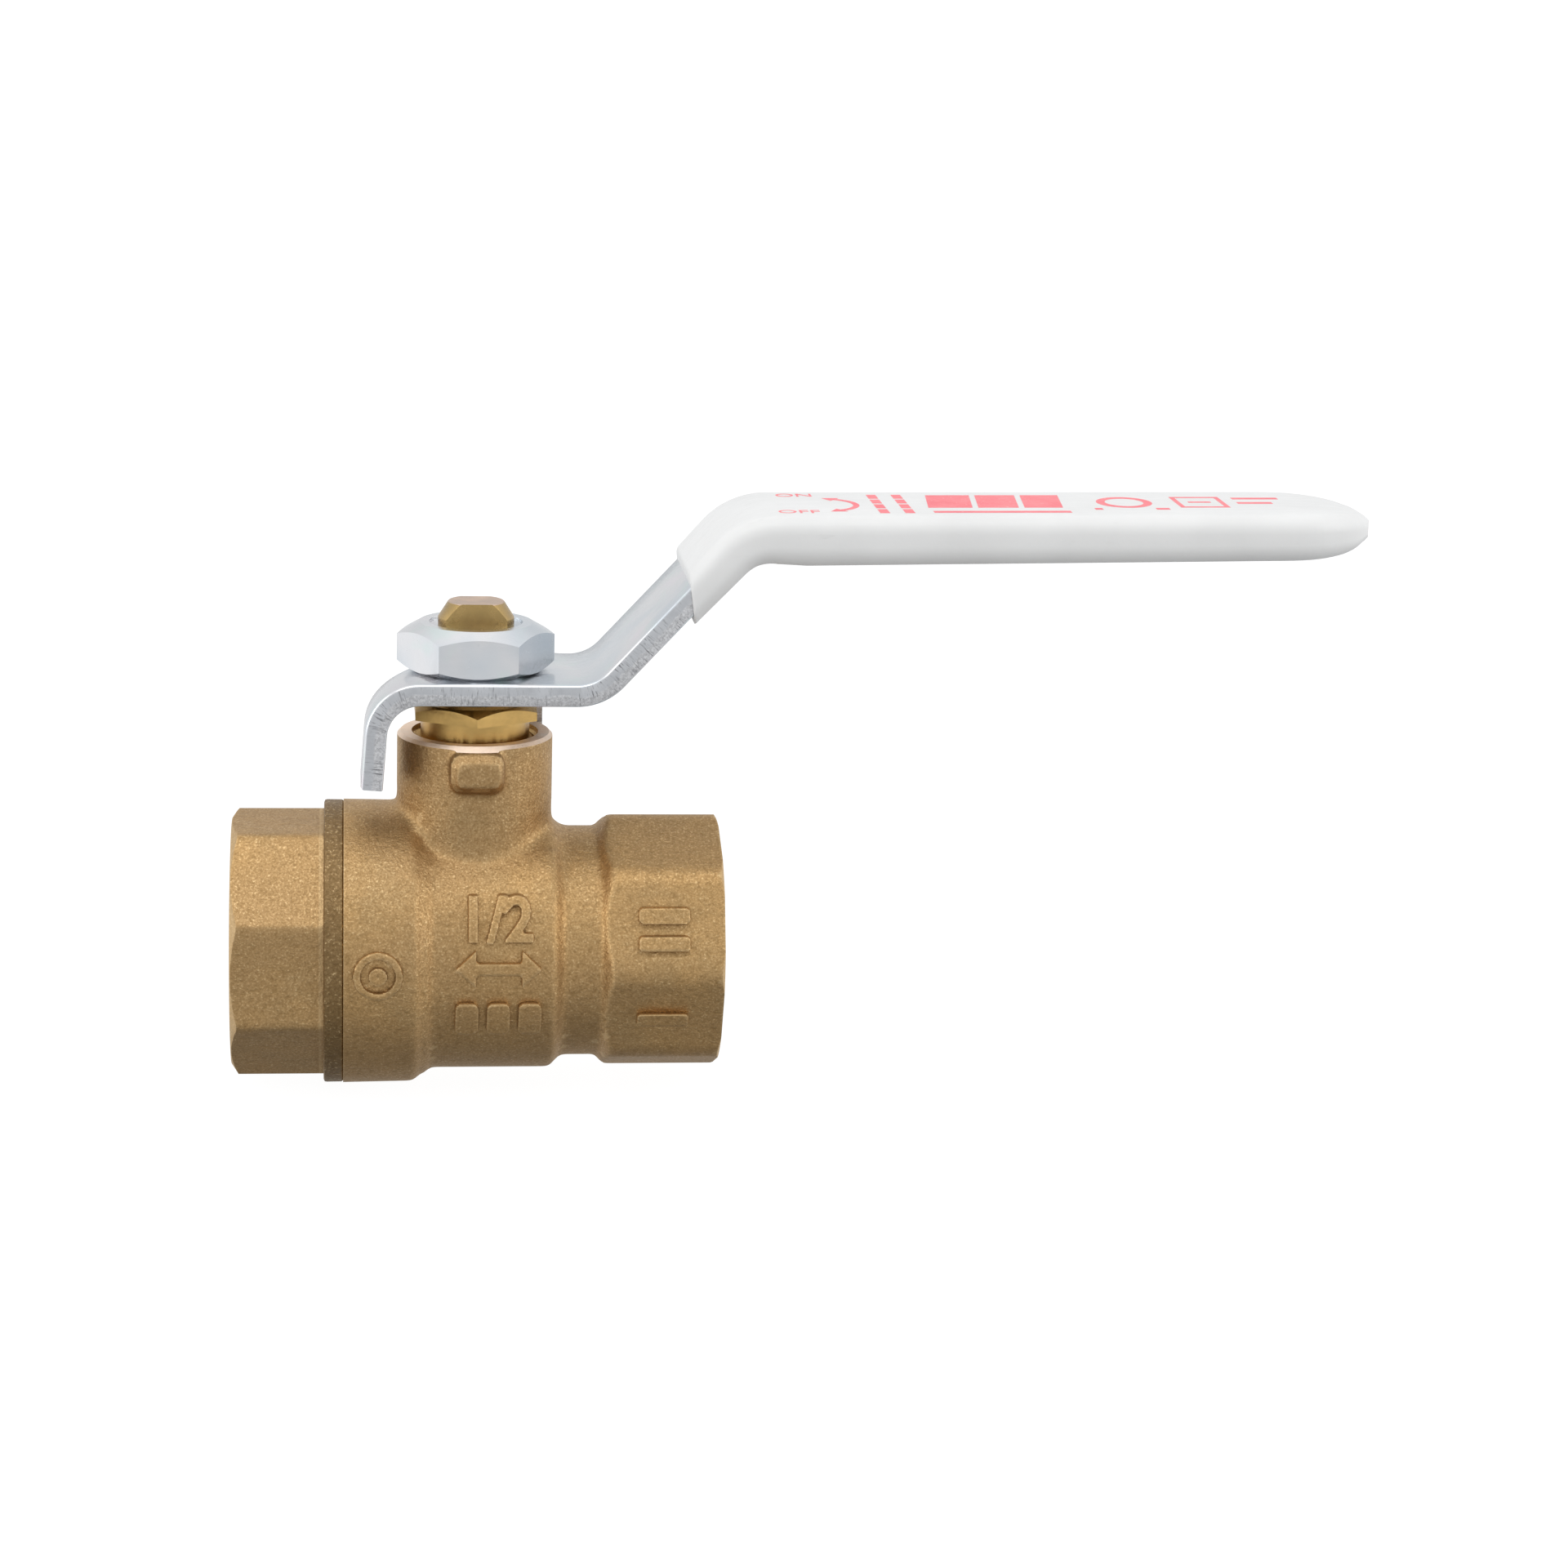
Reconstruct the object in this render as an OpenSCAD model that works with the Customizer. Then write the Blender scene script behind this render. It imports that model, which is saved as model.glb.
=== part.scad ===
// Half-inch full-port brass ball valve with a steel lever handle.
// +X runs along the bore towards the body's own port, +Z up the stem, and the origin is the
// centre of the ball. All sizes are in millimetres. The valve is drawn open.

/* [Ports] */
// End face of the body's port, from the ball's centre
body_end = 25.3; // [24.5:0.1:28]
// End face of the end cap's port, from the ball's centre
cap_end = 24.9; // [24.5:0.1:28]
// Radius at the crests of the female pipe thread
thread_crest_r = 9.15; // [9:0.05:9.4]
// Depth of the pipe thread from each end face
thread_depth = 12.4; // [11.5:0.1:12.6]
// Radius of the waterway through ball, seats and cap
waterway_r = 6.5; // [5:0.1:6.6]
// Width across the flats of the body's octagon
body_flats = 25.4; // [24.8:0.1:27]
// Width across the flats of the end cap's octagon
cap_flats = 25.8; // [24.8:0.1:27]
// Turn of the screwed-in end cap away from level
cap_turn = 1.6; // [0:0.1:22.5]

/* [Body] */
// Radius of the barrel that holds the end cap
barrel_r = 14.7; // [14.3:0.1:16]
// Radius of the middle, over the ball
middle_r = 13.25; // [12.8:0.05:14]
// Radius of the waist behind the octagon
waist_r = 12; // [11.8:0.1:12.6]
// Left end of the barrel, where the cap's flange meets it
barrel_start = -13.45; // [-14:0.05:-13]
// Radius of the stem neck
neck_r = 8; // [7.8:0.1:9]
// Height of the neck's rim above the bore axis
neck_top = 22.5; // [22:0.1:23]
// How far the rear stop lug stands out, from the stem axis
lug_reach = 10; // [9.3:0.1:10.4]

/* [Ball and stem] */
// Radius of the ball
ball_r = 10.2; // [9.6:0.1:10.3]
// Radius of the stem
stem_r = 3.9; // [3.6:0.1:4]
// Distance from the stem axis to each of its two flats
stem_flat = 2.35; // [2.1:0.05:2.6]
// Height of the stem's tip
stem_top = 36.1; // [35.5:0.1:38]

/* [Gland and nut] */
// Width across the flats of the packing gland nut
gland_flats = 12.4; // [12.1:0.1:13]
// Width across the flats of the handle nut
nut_flats = 14; // [13:0.1:15]
// Height of the handle nut
nut_height = 4.95; // [4:0.05:5.5]

/* [Lever] */
// Thickness of the lever's steel strip
strip_t = 2.25; // [1.8:0.05:2.3]
// Half of the strip's width
strip_half = 8.25; // [7.5:0.05:9]
// Underside of the lever's flat, above the bore axis
lever_under = 26.75; // [26.6:0.05:27.2]
// Angle of the sloping part above level
slope_angle = 47.3; // [35:0.1:55]
// Length of the sloping part between its two bends
slope_length = 16.77; // [14:0.01:20]
// Slight rise of the grip above level
grip_rise = 0.65; // [0:0.05:3]
// Where the strip ends inside the grip, along X
strip_end = 91.3; // [80:0.1:110]
// Lower end of the bent-down tail
tail_bottom = 17.7; // [17.2:0.1:20]

/* [Grip] */
// Half of the grip's width
grip_half = 8.7; // [8.4:0.1:9.5]
// Half of the grip's thickness along the hand part
grip_half_t = 2.42; // [2.2:0.02:2.8]
// Half of its thickness at the open end
grip_mouth_t = 2.1; // [2:0.02:2.3]
// Length of slope left bare below the grip
bare_slope = 11.17; // [8:0.01:13]

/* [Hidden] */

round_fn = 96;
past = 1;                 // how far a cutter runs past a face
lead_in = 1.75;           // depth of the cone at each port's mouth

// inside of the body
cap_thread_r = 12;        // male thread of the end cap
cap_nose = -5.8;          // inner end of the cap's nose
chamber_r = 10.9;         // ball chamber
seat_back = 8.8;          // shoulder behind each seat
seat_front = 5.2;         // face of each seat towards the ball
seat_r = 9.4;
seat_gap = 0.05;          // running gap between ball and seats

// stem, from the ball up
tang_bottom = 7.7;
flange_bottom = 10.4;
washer_bottom = 11.7;
washer_top = 12.3;
packing_floor = 14.6;
packing_top = 18.65;
packing_count = 3;
packing_r = 5.7;
packing_step = (packing_top - packing_floor) / packing_count;
stem_fit = 0.06;          // radial running gap round the stem
flange_r = 5;

// gland nut
gland_thread_r = 6;
gland_shank_r = 5.6;
gland_hex_bottom = 24.25;
gland_hex_top = 25.85;

// stop lugs on the neck
lug_half = 2.7;
rear_lug_left = 1.3;      // left side of the rear lug, which the tail meets when the valve is closed
lug_bottom = 17.9;
lug_top = 21.9;
front_lug_reach = 9;
lug_root = 2;             // how far the lugs run into the neck
stop_gap = 0.1;

// lever path, taken along the middle of the strip
lever_top = lever_under + strip_t;
strip_mid = lever_under + strip_t / 2;
lower_bend_r = 5.4;
upper_bend_r = 6.6;
lower_bend_x = 9.97;
tail_bend_x = -5.8;
tail_inner_r = 3.35;
tail_lean = 4;
ear_inner_r = 1.35;
ear_inner_y = 8.45;
ear_right = 7.4;
ear_bottom = 18.2;
lower_centre = [lower_bend_x, strip_mid + lower_bend_r];
slope_start = lower_centre + lower_bend_r * [sin(slope_angle), -cos(slope_angle)];
slope_dir = [cos(slope_angle), sin(slope_angle)];
slope_stop = slope_start + slope_length * slope_dir;
upper_centre = slope_stop + upper_bend_r * [sin(slope_angle), -cos(slope_angle)];
hand_start = upper_centre + upper_bend_r * [-sin(grip_rise), cos(grip_rise)];
hand_dir = [cos(grip_rise), sin(grip_rise)];
hand_length = (strip_end - hand_start[0]) / hand_dir[0];

brass_forged = [0.66, 0.52, 0.30];
brass_turned = [0.85, 0.68, 0.36];
zinc = [0.75, 0.77, 0.80];
ptfe = [0.95, 0.95, 0.92];
vinyl = [0.96, 0.96, 0.96];

// ---- shared shapes ----

function arc(c, r, from, to, steps) =
    [for (i = [0:steps]) let (a = from + (to - from) * i / steps) c + r * [cos(a), sin(a)]];

// solid turned about the X axis, from points given as [radius, x]
module turned_x(points) {
    rotate([0, 90, 0])
        rotate_extrude($fn = round_fn)
            polygon(points);
}

module rod_x(r, from, to) {
    translate([from, 0, 0])
        rotate([0, 90, 0])
            cylinder(r = r, h = to - from, $fn = round_fn);
}

module ring_z(inner, outer, bottom, height) {
    translate([0, 0, bottom])
        difference() {
            cylinder(r = outer, h = height, $fn = round_fn);
            translate([0, 0, -past])
                cylinder(r = inner, h = height + 2 * past, $fn = round_fn);
        }
}

// octagon with rounded corners, flats at 0, 45, 90... degrees
module octagon(flats, corner_r) {
    reach = (flats / 2 - corner_r) / cos(22.5);
    slide = reach * sin(22.5);
    polygon([for (k = [0:7], s = [-1, 1])
        flats / 2 * [cos(45 * k), sin(45 * k)] + s * slide * [-sin(45 * k), cos(45 * k)]]);
    for (k = [0:7])
        rotate(45 * k + 22.5)
            translate([reach, 0])
                circle(r = corner_r, $fn = 48);
}

// bar along X with the given outline as its cross-section, turned about the bore axis
module bar_x(turn, from, to) {
    translate([from, 0, 0])
        rotate([0, 90, 0])
            rotate(turn)
                linear_extrude(to - from)
                    children();
}

// pipe thread's crest bore with a lead-in cone, opening towards +X at x = face
module port_cut(face) {
    rod_x(thread_crest_r, face - thread_depth, face + past);
    turned_x([
        [0, face - lead_in],
        [thread_crest_r, face - lead_in],
        [thread_crest_r + lead_in + past, face + past],
        [0, face + past]]);
}

// hexagonal block with both rims cut back by cones
module chamfered_hex(flats, bottom, height, turn, lower_cut, upper_cut) {
    corner = flats / 2 / cos(30);
    face_r = flats / 2 * 0.955;
    slant = (corner - face_r) * tan(30);
    intersection() {
        translate([0, 0, bottom])
            rotate(turn)
                cylinder(r = corner, h = height, $fn = 6);
        rotate_extrude($fn = round_fn)
            polygon([
                [0, bottom],
                [lower_cut ? face_r : corner, bottom],
                [corner, bottom + (lower_cut ? slant : 0)],
                [corner, bottom + height - (upper_cut ? slant : 0)],
                [upper_cut ? face_r : corner, bottom + height],
                [0, bottom + height]]);
    }
}

// slab with round corners standing on the neck, reaching out along Y
module lug(left, right, reach_from, reach_to) {
    corner = 0.9;
    translate([0, reach_from, 0])
        rotate([-90, 0, 0])
            linear_extrude(reach_to - reach_from) {
                translate([left + corner, -lug_top])
                    square([right - left - 2 * corner, lug_top - lug_bottom]);
                translate([left, -lug_top + corner])
                    square([right - left, lug_top - lug_bottom - 2 * corner]);
                for (x = [left + corner, right - corner], z = [lug_bottom + corner, lug_top - corner])
                    translate([x, -z])
                        circle(r = corner, $fn = 32);
            }
}

// ---- body and its internals ----

module body_outside() {
    shoulder = -6.7;      // start of the step from barrel to middle
    shoulder_r = 1.2;
    middle_start = -4.1;  // end of that step
    middle_end = 7.5;     // start of the step from middle to waist
    waist_start = 9.4;    // end of that step
    step_r = 0.9;
    octagon_start = 12.5;
    octagon_full = 14.2;  // where the octagon reaches its full size
    corner_r = 3.1;
    reach = body_flats / 2 + 1.1;
    rim_break = 0.6;      // how far back the octagon's corners are turned away at the port
    neck_break = 0.35;
    turned_x(concat(
        [[0, barrel_start], [barrel_r, barrel_start]],
        arc([barrel_r - shoulder_r - 0.05, shoulder], shoulder_r, 0, 65, 6),
        arc([middle_r + 1, middle_start], 1, 245, 180, 6),
        arc([middle_r - step_r, middle_end], step_r, 0, 60, 5),
        arc([waist_r + step_r, waist_start], step_r, 240, 180, 5),
        [[waist_r, octagon_start], [waist_r, body_end - 3], [0, body_end - 3]]));
    intersection() {
        bar_x(22.5, octagon_start, body_end)
            octagon(body_flats, corner_r);
        turned_x([
            [0, octagon_start],
            [waist_r - 0.2, octagon_start],
            [reach, octagon_full],
            [reach, body_end - rim_break],
            [reach - 0.75, body_end],
            [0, body_end]]);
    }
    rotate_extrude($fn = round_fn)
        polygon([
            [0, 0],
            [neck_r, 0],
            [neck_r, neck_top - neck_break],
            [neck_r - neck_break, neck_top],
            [0, neck_top]]);
    lug(-rear_lug_left, lug_half, neck_r - lug_root, lug_reach);
    mirror([0, 1, 0])
        lug(-lug_half, lug_half, neck_r - lug_root, front_lug_reach);
}

module body() {
    color(brass_forged)
        difference() {
            body_outside();
            // threaded mouth for the end cap, ball chamber, seat pocket and waterway
            rod_x(cap_thread_r + 0.05, barrel_start - past, cap_nose + 0.3);
            rod_x(chamber_r, barrel_start, seat_front);
            rod_x(seat_r + 0.05, 0, seat_back);
            rod_x(waterway_r, 0, body_end);
            port_cut(body_end);
            // stem passage, from the thrust washer's pocket up to the gland's thread
            translate([0, 0, 8])
                cylinder(r = flange_r + 0.15, h = washer_top - 8, $fn = round_fn);
            cylinder(r = stem_r + stem_fit, h = neck_top, $fn = round_fn);
            translate([0, 0, packing_floor])
                cylinder(r = packing_r + 0.05, h = neck_top, $fn = round_fn);
            translate([0, 0, packing_top + 0.2])
                cylinder(r = gland_thread_r + 0.03, h = neck_top, $fn = round_fn);
            translate([0, 0, neck_top - 0.5])
                cylinder(r1 = gland_thread_r, r2 = gland_thread_r + 0.55, h = 0.55, $fn = round_fn);
        }
}

module end_cap() {
    flange_start = -15.45;
    color(brass_forged)
        difference() {
            union() {
                intersection() {
                    bar_x(22.5 + cap_turn, -cap_end, flange_start + 0.5)
                        circle(d = cap_flats / cos(22.5), $fn = 8);
                    turned_x([
                        [0, -cap_end],
                        [cap_flats / 2 - 0.1, -cap_end],
                        [cap_flats / 2 + 1.3, 0.9 - cap_end],
                        [cap_flats / 2 + 1.3, 0],
                        [0, 0]]);
                }
                turned_x([
                    [0, flange_start],
                    [barrel_r - 0.25, flange_start],
                    [barrel_r, flange_start + 0.25],
                    [barrel_r, barrel_start],
                    [0, barrel_start]]);
                rod_x(cap_thread_r, barrel_start - 1, cap_nose);
            }
            rotate(180)
                port_cut(cap_end);
            rod_x(waterway_r, -cap_end, 0);
            rod_x(seat_r + 0.05, -seat_back, 0);
        }
}

module ball() {
    slot_half = 1.6;
    slot_floor = 7.4;
    color([0.87, 0.88, 0.9])
        difference() {
            sphere(r = ball_r, $fn = round_fn);
            rod_x(waterway_r, -ball_r - past, ball_r + past);
            translate([-slot_half, -ball_r, slot_floor])
                cube([2 * slot_half, 2 * ball_r, ball_r]);
        }
}

module seat() {
    color(ptfe)
        difference() {
            rod_x(seat_r, seat_front, seat_back);
            rod_x(waterway_r, 0, seat_back + past);
            sphere(r = ball_r + seat_gap, $fn = round_fn);
        }
}

module seat_outlet() {
    seat();
}

module seat_inlet() {
    mirror([1, 0, 0])
        seat();
}

// ---- stem, packing and gland ----

module stem() {
    tang_half_x = 1.5;
    tang_half_y = 4;
    tip_r = 2.8;
    tip_slant = 1.2;
    color(brass_turned) {
        translate([-tang_half_x, -tang_half_y, tang_bottom])
            cube([2 * tang_half_x, 2 * tang_half_y, flange_bottom - tang_bottom]);
        rotate_extrude($fn = round_fn)
            polygon([
                [0, flange_bottom],
                [flange_r - 0.3, flange_bottom],
                [flange_r, flange_bottom + 0.3],
                [flange_r, washer_bottom],
                [stem_r, washer_bottom],
                [stem_r, lever_under],
                [0, lever_under]]);
        intersection() {
            rotate_extrude($fn = round_fn)
                polygon([
                    [0, lever_under],
                    [stem_r, lever_under],
                    [stem_r, stem_top - tip_slant],
                    [tip_r, stem_top],
                    [0, stem_top]]);
            translate([-2 * stem_r, -stem_flat, 0])
                cube([4 * stem_r, 2 * stem_flat, 2 * stem_top]);
        }
    }
}

module thrust_washer() {
    color(ptfe)
        ring_z(stem_r + stem_fit, flange_r, washer_bottom, washer_top - washer_bottom);
}

module packing_ring(index) {
    color(ptfe)
        ring_z(stem_r + stem_fit, packing_r, packing_floor + index * packing_step, packing_step);
}

module packing_ring_lower() {
    packing_ring(0);
}

module packing_ring_middle() {
    packing_ring(1);
}

module packing_ring_upper() {
    packing_ring(2);
}

module gland_nut() {
    thread_bottom = packing_top + 0.5;
    thread_top = 21.7;
    hex_height = gland_hex_top - gland_hex_bottom;
    color(brass_turned)
        difference() {
            union() {
                chamfered_hex(gland_flats, gland_hex_bottom, hex_height, 30, false, true);
                rotate_extrude($fn = round_fn)
                    polygon([
                        [0, packing_top],
                        [gland_shank_r, packing_top],
                        [gland_shank_r, thread_bottom],
                        [gland_thread_r, thread_bottom + 0.4],
                        [gland_thread_r, thread_top - 0.4],
                        [gland_shank_r, thread_top],
                        [gland_shank_r, gland_hex_bottom],
                        [0, gland_hex_bottom]]);
            }
            cylinder(r = stem_r + stem_fit, h = 2 * stem_top, $fn = round_fn);
        }
}

// ---- lever, grip and nut ----

// outline of the strip seen from the side, thickened by extra on each face
module strip_side() {
    half = strip_t / 2;
    end = hand_start + hand_length * hand_dir;
    up = [-hand_dir[1], hand_dir[0]];
    polygon(concat(
        [[-20, lever_top]],
        arc(lower_centre, lower_bend_r - half, -90, slope_angle - 90, 10),
        arc(upper_centre, upper_bend_r + half, 90 + slope_angle, 90 + grip_rise, 12),
        [end + half * up, end - half * up],
        arc(upper_centre, upper_bend_r - half, 90 + grip_rise, 90 + slope_angle, 12),
        arc(lower_centre, lower_bend_r + half, slope_angle - 90, -90, 10),
        [[-20, lever_under]]));
}

// outline of the strip seen from above
module strip_plan() {
    covered_half = 7.5;   // narrower where the grip covers it
    neck_down = 24;
    translate([1, 0])
        circle(r = strip_half, $fn = round_fn);
    polygon([
        [1, -strip_half],
        [neck_down - 2, -strip_half],
        [neck_down, -covered_half],
        [strip_end - covered_half, -covered_half],
        [strip_end - covered_half, covered_half],
        [neck_down, covered_half],
        [neck_down - 2, strip_half],
        [1, strip_half]]);
    translate([strip_end - covered_half, 0])
        circle(r = covered_half, $fn = round_fn);
    translate([tail_bend_x, -strip_half])
        square([1 - tail_bend_x, strip_half - rear_lug_left - stop_gap]);
}

module strip() {
    intersection() {
        translate([0, 50, 0])
            rotate([90, 0, 0])
                linear_extrude(100)
                    strip_side();
        linear_extrude(2 * strip_end)
            strip_plan();
    }
}

// tail bent down at the near left corner
module tail() {
    centre = [tail_bend_x, lever_under - tail_inner_r];
    down = [-sin(tail_lean), -cos(tail_lean)];
    length = (centre[1] - tail_bottom) / cos(tail_lean);
    outer = centre + (tail_inner_r + strip_t) * [-cos(tail_lean), sin(tail_lean)];
    inner = centre + tail_inner_r * [-cos(tail_lean), sin(tail_lean)];
    translate([0, -rear_lug_left - stop_gap, 0])
        rotate([90, 0, 0])
            linear_extrude(strip_half - rear_lug_left - stop_gap)
                polygon(concat(
                    [[tail_bend_x + past, lever_top]],
                    arc(centre, tail_inner_r + strip_t, 90, 180 - tail_lean, 12),
                    arc(outer + (length - 0.5) * down + [0.5, 0], 0.5, 180, 270, 4),
                    [inner + length * down],
                    arc(centre, tail_inner_r, 180 - tail_lean, 90, 8),
                    [[tail_bend_x + past, lever_under]]));
}

// ear bent down from the far edge, which meets the rear lug when the valve is open
module ear() {
    centre = [ear_inner_y - ear_inner_r, lever_under - ear_inner_r];
    translate([lug_half + stop_gap, 0, 0])
        rotate([90, 0, 90])
            linear_extrude(ear_right - lug_half - stop_gap)
                polygon(concat(
                    [[centre[0] - past, lever_under]],
                    arc(centre, ear_inner_r, 90, 0, 8),
                    [[ear_inner_y, ear_bottom], [ear_inner_y + strip_t, ear_bottom]],
                    arc(centre, ear_inner_r + strip_t, 0, 90, 12),
                    [[centre[0] - past, lever_top]]));
}

module lever() {
    hole_gap = 0.08;
    color(zinc)
        difference() {
            union() {
                strip();
                tail();
                ear();
            }
            intersection() {
                cylinder(r = stem_r + hole_gap, h = 2 * stem_top, $fn = round_fn);
                translate([-2 * stem_r, -stem_flat - hole_gap, 0])
                    cube([4 * stem_r, 2 * (stem_flat + hole_gap), 2 * stem_top]);
            }
        }
}

// one cross-section of the grip: [x, z] of its middle, lean, half width, half thickness
function grip_station(at, lean, half_w, half_t) = [at[0], at[1], lean, half_w, half_t];

// rounded rectangle as points [y, up], going round once
function grip_ring(half_w, half_t) =
    let (r = min(1.9, half_t * 0.8, half_w * 0.8))
    [for (c = [[1, 1, 0], [-1, 1, 90], [-1, -1, 180], [1, -1, 270]], i = [0:5])
        let (a = c[2] + 90 * i / 5)
        [c[0] * (half_w - r) + r * cos(a), c[1] * (half_t - r) + r * sin(a)]];

module grip_outside() {
    tip = strip_end + 1.5;
    round_from = tip - grip_half;
    bend_steps = 8;
    tip_steps = 9;
    stations = concat(
        [for (i = [0:3])
            grip_station(
                slope_start + (bare_slope + (slope_length - bare_slope) * i / 4) * slope_dir,
                slope_angle, grip_half, grip_mouth_t)],
        [for (i = [0:bend_steps])
            let (a = slope_angle + (grip_rise - slope_angle) * i / bend_steps)
            grip_station(upper_centre + upper_bend_r * [-sin(a), cos(a)], a, grip_half,
                grip_mouth_t + (grip_half_t - grip_mouth_t) * i / bend_steps)],
        [for (i = [0:tip_steps])
            let (
                a = 85 * i / tip_steps,
                x = round_from + grip_half * sin(a))
            grip_station(hand_start + (x - hand_start[0]) / hand_dir[0] * hand_dir,
                grip_rise, grip_half * cos(a),
                grip_half_t * (i < tip_steps - 3 ? 1 : sqrt(1 - pow((i - tip_steps + 3) / 4, 2))))]);
    sides = len(grip_ring(1, 1));
    last = len(stations) - 1;
    points = [for (s = stations, p = grip_ring(s[3], s[4]))
        [s[0] - p[1] * sin(s[2]), p[0], s[1] + p[1] * cos(s[2])]];
    faces = concat(
        [[for (k = [0:sides - 1]) k]],
        [for (j = [0:last - 1], k = [0:sides - 1])
            let (n = (k + 1) % sides)
            [j * sides + k, (j + 1) * sides + k, (j + 1) * sides + n, j * sides + n]],
        [[for (k = [sides - 1:-1:0]) last * sides + k]]);
    polyhedron(points, faces);
}

module grip() {
    color(vinyl)
        difference() {
            grip_outside();
            strip();
        }
}

module handle_nut() {
    sink_r = 4.55;
    color(zinc)
        difference() {
            chamfered_hex(nut_flats, lever_top, nut_height, 0, true, true);
            cylinder(r = stem_r + 0.05, h = 2 * stem_top, $fn = round_fn);
            translate([0, 0, lever_top + nut_height - 0.6])
                cylinder(r1 = stem_r, r2 = sink_r + 0.06, h = 0.66, $fn = round_fn);
        }
}

body();
end_cap();
ball();
seat_inlet();
seat_outlet();
stem();
thrust_washer();
packing_ring_lower();
packing_ring_middle();
packing_ring_upper();
gland_nut();
lever();
grip();
handle_nut();
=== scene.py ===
"""Looks of a half-inch brass ball valve with a vinyl-covered steel lever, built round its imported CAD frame.

Pieces are shaped in millimetres and brought to metres when they are finished. +X runs along the bore,
+Z up the stem, and the origin is the centre of the ball.
"""

from math import acos, asin, ceil, copysign, cos, degrees, hypot, pi, radians, sin, sqrt, tan, tau

import bpy
from mathutils import Matrix, Vector


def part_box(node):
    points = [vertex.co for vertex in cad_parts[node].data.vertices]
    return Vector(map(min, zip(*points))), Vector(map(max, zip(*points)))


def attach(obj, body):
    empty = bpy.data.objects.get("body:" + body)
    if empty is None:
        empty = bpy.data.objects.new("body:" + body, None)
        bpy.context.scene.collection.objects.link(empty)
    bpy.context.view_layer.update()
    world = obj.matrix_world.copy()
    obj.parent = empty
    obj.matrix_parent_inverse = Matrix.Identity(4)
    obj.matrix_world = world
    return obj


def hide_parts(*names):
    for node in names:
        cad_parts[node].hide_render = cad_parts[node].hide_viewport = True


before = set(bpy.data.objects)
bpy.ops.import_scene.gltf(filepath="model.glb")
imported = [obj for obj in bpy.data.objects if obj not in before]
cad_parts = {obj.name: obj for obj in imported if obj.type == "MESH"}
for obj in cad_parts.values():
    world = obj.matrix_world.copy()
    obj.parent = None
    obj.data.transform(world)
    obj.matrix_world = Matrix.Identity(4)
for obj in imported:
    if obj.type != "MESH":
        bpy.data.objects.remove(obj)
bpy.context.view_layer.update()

# -------------------- sizes, in millimetres

MM = 0.001
ROUND = 160  # sides of a turned piece


def box(node):
    low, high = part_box(node)
    return low / MM, high / MM


body_low, body_high = box("body")
cap_low, cap_high = box("end_cap")
seat_low, seat_high = box("seat_outlet")
ball_r = box("ball")[1].y
stem_low, stem_high = box("stem")
gland_low, gland_high = box("gland_nut")
nut_low, nut_high = box("handle_nut")
lever_low, lever_high = box("lever")
grip_high = box("grip")[1]

# body
barrel_r = -body_low.z
barrel_start = body_low.x
port_face = body_high.x
neck_top = body_high.z
middle_r = 13.25
waist_r = 12.0
shoulder_x = -6.7
middle_end = 7.5
octagon_start = 12.5
octagon_flats = 25.4
octagon_corner_r = 3.1
neck_r = 8.0
lug_half = 2.7
rear_lug_left = 1.3
rear_lug_reach = 10.0
lug_low, lug_top = 17.9, 21.9

# end cap
cap_face = cap_low.x
flange_start = barrel_start - 2
cap_flats = 25.8
cap_corner_r = 0.9
cap_turn = radians(1.6)

# inside
cap_thread_r = 12.0
cap_thread_end = -5.5
chamber_r = 10.9
waterway_r = 6.5
seat_r = seat_high.y
seat_pocket_r = seat_r + 0.05
seat_front, seat_back = seat_low.x, seat_high.x
pipe_crest_r = 9.15
pipe_root_r = 10.3
pipe_pitch = 1.814
pipe_depth = 12.4
pipe_lead_in = 1.75

# stem, gland and nut
stem_r = 3.9
stem_flat = 2.35
stem_hole_r = stem_r + 0.06
collar_r, collar_low, collar_top = 5.0, 10.4, 11.7
collar_pocket_r, collar_pocket_top = 5.15, 12.3
packing_r, packing_floor = 5.75, 14.6
gland_shank_r = 5.6
gland_thread_r = 6.0
gland_bore_r = 6.45
gland_flats = 12.4
nut_flats = 14.0
fine_pitch = 1.25

# lever: the blank is cut flat and then bent along this path
strip_t = 2.25
strip_half = 8.25
lever_top = nut_low.z
lever_mid = lever_top - strip_t / 2
lower_bend_x = 9.97
lower_bend_r = 5.4
upper_bend_r = 6.6
slope_angle = radians(47.3)
slope_length = 16.77
grip_rise = radians(0.65)
lower_arc = lower_bend_r * slope_angle
upper_arc = upper_bend_r * (slope_angle - grip_rise)
slope_end = lower_arc + slope_length
hand_start = slope_end + upper_arc


def bend_point(length):
    """(x, z, lean) of the middle of the strip, length along it from the start of the lower bend."""
    if length <= 0:
        return lower_bend_x + length, lever_mid, 0.0
    centre = Vector((lower_bend_x, lever_mid + lower_bend_r))
    lean = min(length / lower_bend_r, slope_angle)
    spot = centre + lower_bend_r * Vector((sin(lean), -cos(lean)))
    if length <= lower_arc:
        return spot.x, spot.y, lean
    slope = Vector((cos(slope_angle), sin(slope_angle)))
    if length <= slope_end:
        spot += (length - lower_arc) * slope
        return spot.x, spot.y, lean
    spot += slope_length * slope
    centre = spot + upper_bend_r * Vector((sin(slope_angle), -cos(slope_angle)))
    lean = max(slope_angle - (length - slope_end) / upper_bend_r, grip_rise)
    spot = centre + upper_bend_r * Vector((-sin(lean), cos(lean)))
    if length > hand_start:
        spot += (length - hand_start) * Vector((cos(lean), sin(lean)))
    return spot.x, spot.y, lean


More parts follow.
